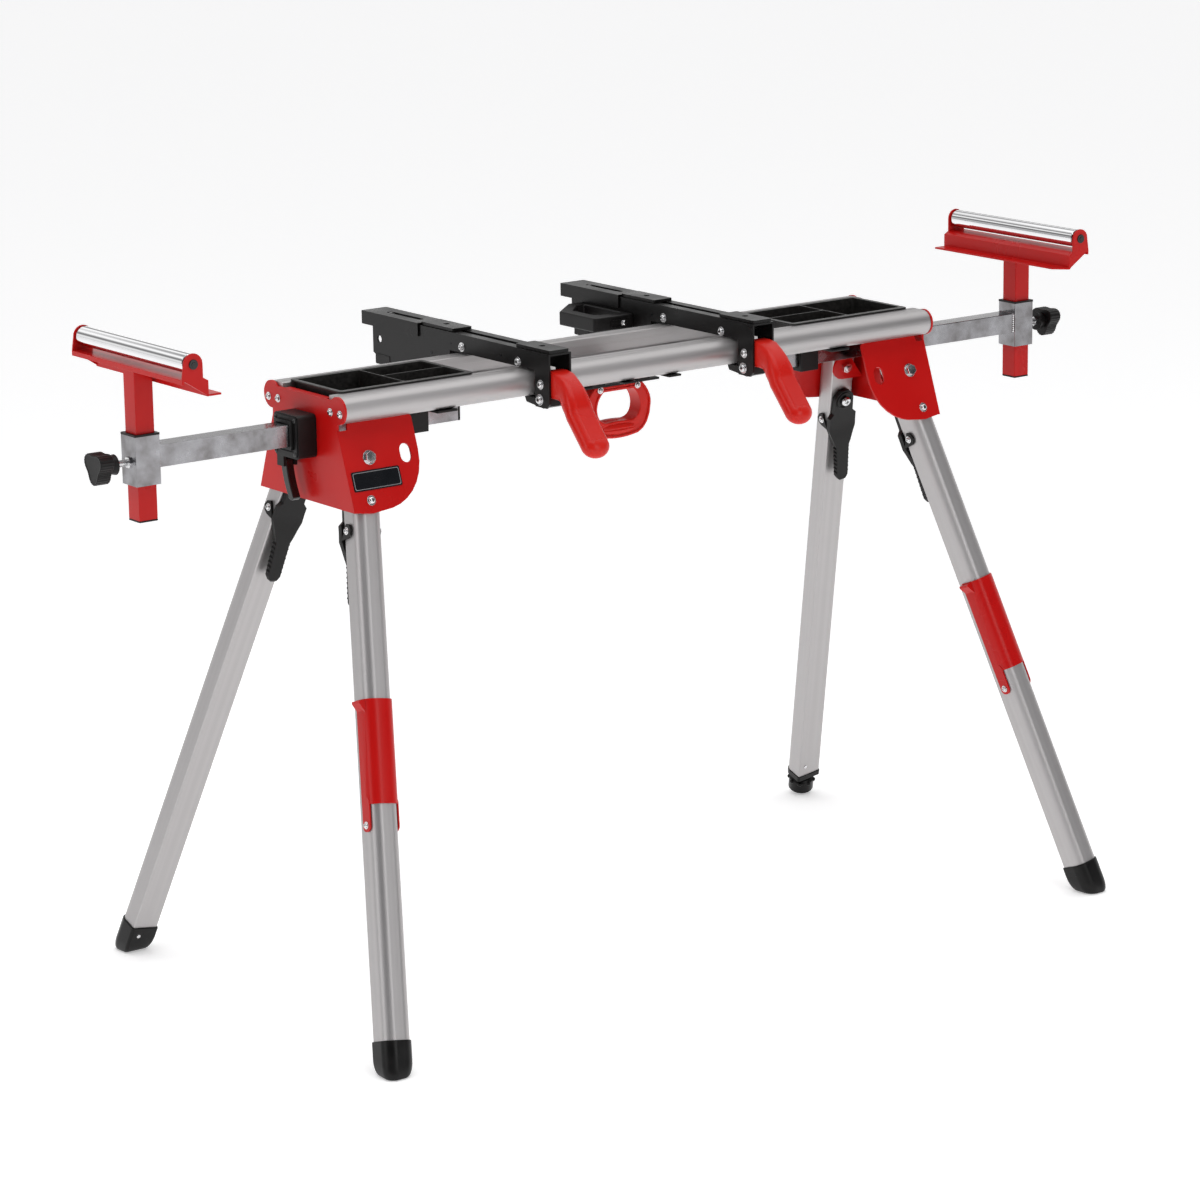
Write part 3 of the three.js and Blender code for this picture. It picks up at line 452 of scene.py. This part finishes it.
HOUSING_FACE = 497.0
HOUSING_MIDDLE = 722.0
RIM_HEIGHT = 1.6
for side, x in SIDES:
    dressed("arm_housing_" + side, black_moulding, "black_plastic", 1.2)
    dressed("arm_cam_lever_" + side, black_gloss, "black_plastic", 2.6, segments=3)
    dressed("arm_guide_" + side, black_moulding, "black_plastic", 1.0)
    frame_rim = bmesh.new()
    outer = rounded_rect(-25.2, -25.2, 25.2, 25.2, 5.0)
    inner = rounded_rect(-18.4, -18.4, 18.4, 18.4, 2.0)
    add_ring(frame_rim, (outer, inner), -0.2, RIM_HEIGHT)
    round_over(frame_rim, sharp_edges(frame_rim, 50.0), 0.5)
    place = own_place((0, x, 0), (0, 0, 1), (x, 0, 0), (x * HOUSING_FACE, 0.0, HOUSING_MIDDLE))
    piece("housing_rim_" + side, frame_rim, black_moulding, "stand", place=place)
    housing_screws = bmesh.new()
    for y in (-21.0, 21.0):
        for z in (-21.0, 21.0):
            spot = (x * (HOUSING_FACE + 1.2), y, HOUSING_MIDDLE + z)
            add_screw(housing_screws, spot, (x, 0, 0), 2.6, washer=False)
    piece("housing_screws_" + side, housing_screws, dark_screw, "stand")


# ---------------------------------------------------------------- trays
# Moulded trays that drop between the beams, with one long and two small pockets, a
# rolled rim that lies on the beams, and a leather-like texture in the mould.
tray_moulding = finish("tray_moulding", (0.007, 0.0065, 0.0062), (0.024, 0.022, 0.020), 0.0, (0.28, 0.48),
                       grain=420.0, patch=260.0, bump=0.55, gleam=0.45)
for side, x in SIDES:
    dressed("tray_" + side, tray_moulding, "black_plastic", 0.9)


# ---------------------------------------------------------------- extension arms
# Square steel tubes with a sleeve welded on the end, zinc plated after welding, so the
# plate is mottled. Black caps close the inner ends and a thin black collar lines the sleeve.
zinc_plate = finish("zinc_plate", (0.15, 0.14, 0.14), (0.42, 0.42, 0.44), 1.0, (0.12, 0.30),
                    grain=240.0, patch=42.0, bump=0.10)
ARM_LEVEL = 724.0
ARM_SIDE = 13.5
SLEEVE_X = 702.0
SLEEVE_SIDE = 16.7
for side, x in SIDES:
    dressed("extension_arm_" + side, zinc_plate, "zinc", 1.4)
    beads = bmesh.new()
    for y in (-1, 1):
        for step in range(9):
            bead = bmesh.ops.create_uvsphere(
                beads, u_segments=10, v_segments=6, radius=1.9 * MM,
            )["verts"]
            bmesh.ops.scale(beads, verts=bead, vec=(0.75, 0.75, 1.0))
            seam = x * (SLEEVE_X - SLEEVE_SIDE - 0.4)
            spot = Vector((seam, y * (ARM_SIDE + 0.2), ARM_LEVEL - 11.0 + step * 2.75))
            bmesh.ops.translate(beads, verts=bead, vec=spot * MM)
    piece("weld_beads_" + side, beads, bright_zinc, "arm_" + side)
    caps = bmesh.new()
    raise_outline(caps, rounded_rect(-14.0, -14.0, 14.0, 14.0, 2.0), -1.0, 2.2)
    round_over(caps, sharp_edges(caps, 50.0), 0.7)
    place = own_place((0, -x, 0), (0, 0, 1), (-x, 0, 0), (x * 250.0, 0.0, ARM_LEVEL))
    piece("arm_cap_" + side, caps, black_moulding, "arm_" + side, place=place)
    collar = bmesh.new()
    halves = (SLEEVE_SIDE + 0.5, 13.1)
    add_ring(collar, [rounded_rect(-half, -half, half, half, 1.2, 3) for half in halves], 0.0, 2.4)
    place = Matrix.Translation(Vector((x * SLEEVE_X, 0.0, 751.2)) * MM)
    piece("sleeve_collar_" + side, collar, black_moulding, "arm_" + side, place=place)


# ---------------------------------------------------------------- posts, knobs and rollers
# Red square posts slide in the sleeves, held by three-lobed knobs. Each carries a pressed
# cradle with a bright chromed steel roller that turns on an axle with black push caps.
chrome = finish("chrome_plate", (0.80, 0.80, 0.81), (0.86, 0.86, 0.87), 1.0, (0.05, 0.10),
                grain=400.0, patch=18.0, bump=0.01)
POST_SIDE = 12.7
ROLLER_LEVEL = 853.0
ROLLER_HALF = 121.6
KNOB_LEVEL = 719.0
for side, x in SIDES:
    dressed("roller_post_" + side, red_coat, "red_paint", 1.6)
    dressed("roller_cradle_" + side, red_coat, "red_paint", 0.8)
    foot = bmesh.new()
    half = POST_SIDE + 0.3
    raise_outline(foot, rounded_rect(-half, -half, half, half, 1.6), -1.8, 0.4)
    round_over(foot, sharp_edges(foot, 50.0), 0.6)
    place = Matrix.Translation(Vector((x * SLEEVE_X, 0.0, 648.0)) * MM)
    piece("post_cap_" + side, foot, black_moulding, "post_" + side, place=place)

    profile = [(0.0, -ROLLER_HALF), (3.8, -ROLLER_HALF)]
    profile += [(7.0, -ROLLER_HALF + 0.4), (9.4, -ROLLER_HALF + 0.4)]
    profile += [(11.4, -ROLLER_HALF), (11.85, -ROLLER_HALF + 0.3), (12.0, -ROLLER_HALF + 1.0)]
    profile += [(radius, -along) for radius, along in reversed(profile)]
    drum = bmesh.new()
    path = [drum.verts.new((radius * MM, 0.0, along * MM)) for radius, along in profile]
    edges = [drum.edges.new(pair) for pair in zip(path, path[1:])]
    bmesh.ops.spin(
        drum, geom=path + edges, cent=(0, 0, 0), axis=(0, 0, 1), angle=math.tau, steps=64, use_merge=True,
    )
    bmesh.ops.remove_doubles(drum, verts=drum.verts, dist=0.00001)
    bmesh.ops.recalc_face_normals(drum, faces=drum.faces)
    turned(drum, Matrix.Identity(4), 3.9, -128.6, 128.6, 0.0, 20)
    place = own_place((1, 0, 0), (0, 0, -1), (0, 1, 0), (x * SLEEVE_X, 0.0, ROLLER_LEVEL))
    drum_body = "roller_" + side + "_drum"
    piece("v_roller_" + side, drum, chrome, drum_body, ("roller_" + side,), place)
    caps = bmesh.new()
    for y in (-1, 1):
        turned(caps, facing((x * SLEEVE_X, y * 127.4, ROLLER_LEVEL), (0, y, 0)), 6.0, 0.1, 1.6, 0.7, 24)
        turned(caps, facing((x * SLEEVE_X, y * 127.4, ROLLER_LEVEL), (0, y, 0)), 3.2, 1.0, 2.2, 0.4, 6)
    piece("axle_caps_" + side, caps, black_gloss, drum_body)

    knob = bmesh.new()
    rim = []
    for step in range(108):
        turn = math.tau * step / 108
        radius = 18.2 + 3.4 * math.sin(3 * turn) + 0.35 * math.cos(36 * turn)
        rim.append((radius * math.cos(turn), radius * math.sin(turn)))
    raise_outline(knob, rim, 31.0, 49.8)
    edge = [e for e in sharp_edges(knob, 60.0) if abs(e.verts[0].co.z - e.verts[1].co.z) < 1e-6]
    round_over(knob, edge, 1.6, 4)
    crown = max(knob.faces, key=lambda f: f.calc_center_median().z)
    bmesh.ops.inset_region(knob, faces=[crown], thickness=2.0 * MM)
    bmesh.ops.translate(knob, verts=crown.verts, vec=(0.0, 0.0, -0.8 * MM))
    turned(knob, Matrix.Identity(4), 12.6, 20.0, 31.0, 0.0, 32, 10.0)
    place = own_place((0, x, 0), (0, 0, 1), (x, 0, 0), (x * (SLEEVE_X + SLEEVE_SIDE), 0.0, KNOB_LEVEL))
    piece(
        "v_clamp_knob_" + side, knob, black_moulding, "knob_" + side,
        ("clamp_knob_" + side,), place,
    )
    bolt = bmesh.new()
    turned(bolt, Matrix.Identity(4), 4.0, -3.6, 21.0, 0.0, 24)
    for ridge in range(9):
        turned(bolt, Matrix.Identity(4), 4.35, 2.6 + ridge * 1.5, 3.3 + ridge * 1.5, 0.0, 20)
    turned(bolt, Matrix.Identity(4), 6.6, 16.6, 20.2, 0.5, 6)
    piece("knob_bolt_" + side, bolt, bright_zinc, "knob_" + side, place=place)
    nut = bmesh.new()
    nut_place = facing((x * (SLEEVE_X + SLEEVE_SIDE), 0.0, KNOB_LEVEL), (x, 0, 0))
    turned(nut, nut_place, 7.4, -0.2, 2.6, 0.5, 6)
    piece("sleeve_nut_" + side, nut, bright_zinc, "arm_" + side)


# ---------------------------------------------------------------- legs
# D-section tubes of the same anodised aluminium. Each hangs on a bolt through its flange,
# and a sprung pin under a black seesaw lever locks it open or folded.
LEG_TILT = math.radians(10.4)
LEG_SIDE = 18.5
LEG_DEEP = 33.0
LEG_TOP = 18.0
LEG_END = {"rear_right": -703.0}
SHOE_ROUND = 18.0


def leg_place(x, y):
    """The leg's own axes: y into the stand from its round side, z up the leg, z = 0 at its pivot."""
    down = Vector((0.0, y * math.sin(SPLAY), -math.cos(SPLAY)))
    inward = Vector((0.0, -y * math.cos(SPLAY), -math.sin(SPLAY)))
    up = -(down * math.cos(LEG_TILT) + Vector((x * math.sin(LEG_TILT), 0.0, 0.0)))
    origin = Vector((x * 433.5, y * FLANGE_TOP[1], FLANGE_TOP[2])) + down * 36.0 + inward * 3.5
    return own_place(inward.cross(up), inward, up, origin)


def leg_section(grown):
    """The tube's D outline, grown outwards by so many mm."""
    side = LEG_SIDE + grown
    nose = 13.0 + grown
    edge = max(2.0 + grown, 0.4)
    return (
        arc(side - edge, LEG_DEEP + grown - edge, edge, 0, 90, 4)
        + arc(-side + edge, LEG_DEEP + grown - edge, edge, 90, 180, 4)
        + arc(-side + nose, -grown + nose, nose, 180, 270, 14)
        + arc(side - nose, -grown + nose, nose, 270, 360, 14)
    )


def both_sides(place, spot, radius):
    """Two facing screws, one on each side of a leg, at a spot in mm in the leg's own axes."""
    across, deep, up = spot
    return [
        (
            place @ Vector((way * across * MM, deep * MM, up * MM)) / MM,
            place.to_3x3() @ Vector((way, 0, 0)), radius,
        )
        for way in (-1, 1)
    ]


black_shoe = finish("black_shoe", (0.003, 0.003, 0.003), (0.007, 0.0065, 0.0065), 0.0, (0.26, 0.40),
                    grain=1500.0, patch=40.0, bump=0.20, gleam=0.24)

for corner, x, y in CORNERS:
    place = leg_place(x, y)
    leg = bmesh.new()
    add_ring(leg, (leg_section(0.0), leg_section(-2.0)), LEG_END.get(corner, -728.0), LEG_TOP)
    piece(
        "v_leg_" + corner, leg, anodised, corner + "_leg", ("leg_" + corner,), place,
        soft_below=28.0,
    )
    dressed("leg_pivot_bolt_" + corner, bright_zinc, "zinc", 0.6)
    washer = bmesh.new()
    turned(washer, place @ facing((0.0, -3.6, 0.0), (0, -1, 0)), 9.0, -0.2, 1.0, 0.3)
    piece("pivot_washer_" + corner, washer, bright_zinc, "stand")
    pin = bmesh.new()
    turned(pin, facing((0.0, -0.2, -52.9), (0, 1, 0)), 4.0, 0.0, 44.0, 0.0, 24)
    add_screw(pin, (0.0, 42.4, -52.9), (0, 1, 0), 7.0, washer=False)
    piece(
        "v_leg_lock_pin_" + corner, pin, bright_zinc, corner + "_pin",
        ("leg_lock_pin_" + corner,), place,
    )

    # The seesaw lever: moulded body, a collar round the pin's head, finger ribs down both
    # edges of its tail, and the screws it turns on.
    dressed("leg_lock_lever_" + corner, black_moulding, "black_plastic", 1.8, segments=3)
    collar = bmesh.new()
    add_ring(collar, (arc(0, 0, 12.9, 0, 350, 35), arc(0, 0, 10.2, 0, 350, 35)), 0.0, 2.0)
    round_over(collar, sharp_edges(collar, 50.0), 0.6)
    collar_place = place @ own_place((1, 0, 0), (0, 0, -1), (0, 1, 0), (0.0, 40.2, -52.9))
    lever_body = corner + "_lever"
    piece("pin_collar_" + corner, collar, black_moulding, lever_body, place=collar_place)
    ribs = bmesh.new()
    for step in range(7):
        drop = 128.0 + step * 6.2
        back = 33.6 + 9.5 * (drop - 87.0) / 91.0
        front = 44.6 + 6.0 * (drop - 118.0) / 58.0
        edge = 10.5 - 1.5 * (drop - 126.0) / 45.0
        for way in (-1, 1):
            rib_place = facing((way * edge, back + 1.0, -drop), (0, 1, 0))
            turned(ribs, rib_place, 1.5, 0.0, front - back - 1.6, 0.5, 12)
    piece("lever_ribs_" + corner, ribs, black_moulding, lever_body, place=place)
    screws("lever_screws_" + corner, lever_body, both_sides(place, (22.0, 22.0, -87.0), 3.4))

    if corner == "rear_right":
        # Screw foot: a plug in the tube, a threaded neck and a star wheel with a domed sole.
        dressed("screw_foot_collar", black_shoe, "rubber", 1.0)
        dressed("screw_foot_wheel", black_shoe, "rubber", 1.0, angle=50.0)
        wheel = bmesh.new()
        for step in range(8):
            turn = math.tau * step / 8
            spot = Vector((16.6 * math.cos(turn), 16.5 + 16.6 * math.sin(turn), -721.5))
            lobe = bmesh.ops.create_uvsphere(
                wheel, u_segments=14, v_segments=8, radius=4.0 * MM,
            )["verts"]
            bmesh.ops.scale(wheel, verts=lobe, vec=(1.0, 1.0, 0.8))
            bmesh.ops.translate(wheel, verts=lobe, vec=spot * MM)
        piece("foot_lobes", wheel, black_shoe, "foot_wheel", place=place)
    else:
        # Moulded shoe: a D-shaped cup over the tube, drawn in and rounded to a level sole.
        shoe = bmesh.new()
        raise_outline(shoe, leg_section(2.0), -765.0, -704.0)
        ground = place.inverted()
        level_way = ground.to_3x3() @ Vector((0, 0, 1))
        for height in (0.0, 0.5, 1.5, 3.0, 5.0, 7.5, 10.5, 14.0, SHOE_ROUND):
            bmesh.ops.bisect_plane(
                shoe, geom=shoe.verts[:] + shoe.edges[:] + shoe.faces[:],
                plane_co=ground @ Vector((0.0, 0.0, height * MM)), plane_no=level_way,
                clear_inner=height == 0.0,
            )
        sole = [e for e in shoe.edges if len(e.link_faces) == 1]
        bmesh.ops.contextual_create(shoe, geom=sole)
        axis_from = place @ Vector((0.0, 16.5 * MM, 0.0))
        axis_way = place.to_3x3() @ Vector((0, 0, 1))
        for v in shoe.verts:
            spot = place @ v.co
            below = max(0.0, 1.0 - spot.z / (SHOE_ROUND * MM))
            drawn_in = 1.0 - 0.32 * (1.0 - math.sqrt(max(0.0, 1.0 - below * below)))
            middle_here = axis_from + axis_way * ((spot.z - axis_from.z) / axis_way.z)
            v.co = ground @ (middle_here + (spot - middle_here) * drawn_in)
        bmesh.ops.recalc_face_normals(shoe, faces=shoe.faces)
        tops = [e for e in sharp_edges(shoe, 60.0) if min(e.verts[0].co.z, e.verts[1].co.z) > -0.7041]
        round_over(shoe, tops, 1.2, 3)
        piece(
            "v_leg_shoe_" + corner, shoe, black_shoe, corner + "_leg",
            ("leg_shoe_" + corner,), place,
        )
    if y > 0:
        # The rear feet are riveted on through the tube's flat side.
        rivet = bmesh.new()
        deep, low = (34.8, -716.0) if corner == "rear_left" else (32.8, -688.0)
        turned(rivet, facing((8.0, deep, low), (0, 1, 0)), 2.8, 0.0, 1.2, 0.8, 20)
        piece("foot_rivet_" + corner, rivet, bright_zinc, corner + "_leg", place=place)


# ---------------------------------------------------------------- fold catches
# Red pressed clips that wrap the front legs and hook a folded rear leg. Each turns on
# two screws through its flat lower ears.
for corner, x, y in CORNERS[:2]:
    place = leg_place(x, y)
    dressed("fold_catch_" + corner, red_coat, "red_paint", 0.5)
    screws("catch_screws_" + corner, corner + "_catch", both_sides(place, (20.9, 16.0, -446.0), 3.3))


# ---------------------------------------------------------------- saw brackets
# Channels of black powder-coated steel that saddle both beams, with a slotted top for
# two sliding blocks, a cap that slides out behind, and clamp levers at the front.
black_coat = finish("black_powder_coat", (0.004, 0.0036, 0.0036), (0.008, 0.0072, 0.0072), 0.0, (0.26, 0.38),
                    grain=1300.0, patch=22.0, bump=0.16, gleam=0.24)
red_moulding = finish("red_moulding", (0.58, 0.010, 0.006), (0.64, 0.016, 0.009), 0.0, (0.24, 0.34),
                      grain=1200.0, patch=16.0, bump=0.05, gleam=0.26)
BRACKET_X = {"left": -171.0, "right": 153.0}
BRACKET_HALF = 17.25
# Down the handle: place (y, z), lean, half width, half depth, squareness, and how flat its face is.
HANDLE_STATIONS = [
    (-99.0, 757.5, -90.0, 14.0, 11.5, 9.0, 1.0), (-103.0, 760.0, -90.0, 14.0, 14.8, 9.0, 1.0),
    (-110.0, 761.8, -90.0, 14.0, 17.2, 9.0, 1.0), (-122.0, 761.8, -90.0, 14.0, 17.2, 9.0, 1.0),
    (-132.0, 760.6, -82.0, 14.0, 16.8, 6.0, 1.0), (-140.0, 756.8, -68.0, 14.2, 15.4, 4.0, 1.0),
    (-147.0, 751.2, -54.0, 16.2, 15.0, 3.0, 0.98), (-153.0, 743.2, -44.0, 18.3, 14.8, 2.5, 0.95),
    (-158.6, 735.4, -41.7, 18.8, 14.2, 2.3, 0.90), (-161.3, 729.6, -41.7, 18.9, 14.0, 2.2, 0.86),
    (-190.6, 696.6, -41.7, 18.9, 13.2, 2.2, 0.86), (-191.6, 695.4, -41.7, 18.9, 13.2, 2.2, 0.97),
]
for reach in (10, 24, 38, 52, 64, 74, 82, 88):
    tip = math.radians(reach)
    along = 16.0 * math.sin(tip)
    HANDLE_STATIONS.append((
        -192.2 - along * 0.6656, 694.8 - along * 0.7465, -41.7,
        18.9 * math.cos(tip), 13.2 * math.cos(tip), 2.2, 1.0,
    ))


def skin(bm, rings):
    """Closes a row of vertex rings into one smooth body with flat ends."""
    loops = [[e for e in bm.edges if e.verts[0] in ring and e.verts[1] in ring] for ring in map(set, rings)]
    for near, far in zip(loops, loops[1:]):
        bmesh.ops.bridge_loops(bm, edges=near + far)
    for ends in (loops[0], loops[-1]):
        bmesh.ops.contextual_create(bm, geom=ends)
    bmesh.ops.recalc_face_normals(bm, faces=bm.faces)


SIDE_SCREWS = ((65.0, 785.0, 4.3), (-57.0, 783.5, 4.3), (-104.0, 761.0, 4.3), (-102.0, 741.6, 5.0))

for side, x in SIDES:
    middle = BRACKET_X[side]
    dressed("saw_bracket_" + side, black_coat, "black_steel", 0.9)
    dressed("bracket_cap_" + side, black_coat, "black_steel", 0.8)
    dressed("block_front_" + side, black_coat, "black_steel", 0.7)
    dressed("block_rear_" + side, black_coat, "black_steel", 0.7)
    dressed("clamp_jaw_" + side, black_moulding, "black_plastic", 1.0)
    side_screws = [
        ((middle + way * BRACKET_HALF, y, z), (way, 0, 0), radius)
        for way in (-1, 1) for y, z, radius in SIDE_SCREWS
    ]
    screws("bracket_screws_" + side, "bracket_" + side, side_screws)
    boss = bmesh.new()
    turned(boss, facing((middle, 250.0, 799.6), (0, 0, 1)), 6.2, 0.0, 3.0, 0.8, 28)
    turned(boss, facing((middle, 250.0, 799.6), (0, 0, 1)), 3.0, 2.0, 3.9, 0.5, 6)
    piece("cap_screw_" + side, boss, black_gloss, "bracket_" + side)

    # Painted shade: thin near-black discs stand just proud of both bracket sides where its small holes are,
    # in place of the dark inside of real holes.
    painted_hole_shade = bmesh.new()
    for way in (-1, 1):
        for y, z, radius in ((134.0, 768.5, 2.4), (90.0, 786.0, 1.6), (-20.0, 786.0, 1.6)):
            hole_place = facing((middle + way * BRACKET_HALF, y, z), (way, 0, 0))
            turned(painted_hole_shade, hole_place, radius, -0.3, 0.25, 0.0, 20)
    piece("bracket_hole_shade_discs_" + side, painted_hole_shade, label_and_hole_shade_black, "bracket_" + side)

    hook = bmesh.new()
    raise_outline(hook, rounded_rect(229.0, 736.4, 262.4, 750.6, 2.5), -18.2, 18.2)
    round_over(hook, sharp_edges(hook, 50.0), 1.2, 3)
    hook_place = own_place((0, 1, 0), (0, 0, 1), (1, 0, 0), (middle, 0.0, 0.0))
    own_body = "bracket_" + side
    piece("rear_hook_" + side, hook, black_moulding, own_body, place=hook_place)

    # The clamp lever: a square root in the channel's mouth, whose neck swells and arches over
    # into a hanging handle with a flat along its face and a round tip.
    lever = bmesh.new()
    sections = []
    for y, z, lean, half_wide, half_deep, square, cut in HANDLE_STATIONS:
        ring = bmesh.ops.create_circle(lever, cap_ends=False, segments=56, radius=1.0)["verts"]
        for v in ring:
            stretch = (abs(v.co.x) ** square + abs(v.co.y) ** square) ** (1 / square)
            v.co.x = v.co.x / stretch * half_wide * MM
            v.co.y = max(v.co.y / stretch, -cut) * half_deep * MM
        turn = Matrix.Rotation(math.radians(lean), 4, "X")
        bmesh.ops.transform(lever, matrix=Matrix.Translation((0.0, y * MM, z * MM)) @ turn, verts=ring)
        sections.append(ring)
    skin(lever, sections)
    place = Matrix.Translation(Vector((middle, 0.0, 0.0)) * MM)
    piece(
        "v_clamp_lever_" + side, lever, red_moulding, "clamp_" + side,
        ("clamp_lever_" + side,), place,
    )

# The hand grip on the right bracket is one moulding with a ring of wall round its screw slot.
dressed("side_grip", black_moulding, "black_plastic", 2.2, segments=3)
slot_wall = bmesh.new()
slot_outer = rounded_rect(-14.5, -5.4, 14.5, 5.4, 5.3)
slot_inner = rounded_rect(-13.1, -4.0, 13.1, 4.0, 3.9)
add_ring(slot_wall, (slot_outer, slot_inner), 0.0, 1.4)
slot_place = own_place((1, 0, 0), (0, 0, 1), (0, -1, 0), (111.5, 130.2, 772.0))
piece("grip_slot_wall", slot_wall, black_moulding, "bracket_right", place=slot_place)
screws("side_grip_screw", "bracket_right", [((119.5, 130.0, 772.0), (0, -1, 0), 3.4)])


# ---------------------------------------------------------------- carry handle
# A red moulded D handle under the middle of the stand, screwed to a black steel hanger
# that spans the beams. Its sides are ribbed and its grip is grooved.
dressed("handle_mount", black_coat, "black_steel", 0.8)
handle = solid_of("carry_handle", 2.6, segments=4)
flats = [face for face in handle.faces if abs(face.normal.y) > 0.999]
bmesh.ops.inset_region(handle, faces=flats, thickness=1.4 * MM)
bmesh.ops.inset_region(handle, faces=flats, thickness=0.7 * MM, depth=-1.8 * MM)
piece("v_carry_handle", handle, red_moulding, "stand", ("carry_handle",))
palm = bmesh.new()
sections = []
PALM_STATIONS = (
    (-27, 8.0, 6.0), (-24, 11.5, 9.6), (-16, 12.8, 10.8), (0, 13.4, 11.6),
    (16, 12.8, 10.8), (24, 11.5, 9.6), (27, 8.0, 6.0),
)
for x, deep, tall in PALM_STATIONS:
    ring = bmesh.ops.create_circle(palm, cap_ends=False, segments=48, radius=1.0)["verts"]
    for v in ring:
        turn = math.atan2(v.co.y, v.co.x)
        groove = 1.0 - 0.07 * max(0.0, math.cos(8 * turn)) ** 6
        v.co = Vector((
            math.cos(turn) * deep * groove * MM, math.sin(turn) * tall * groove * MM, x * MM,
        ))
    sections.append(ring)
skin(palm, sections)
palm_place = own_place((0, 1, 0), (0, 0, 1), (1, 0, 0), (3.0, 0.0, 665.2))
piece("handle_palm_grip", palm, red_moulding, "stand", place=palm_place)
screws("handle_screws", "stand", [((3.0 + x * 30.0, -12.0, 719.6), (0, -1, 0), 3.2) for x in (-1, 1)])
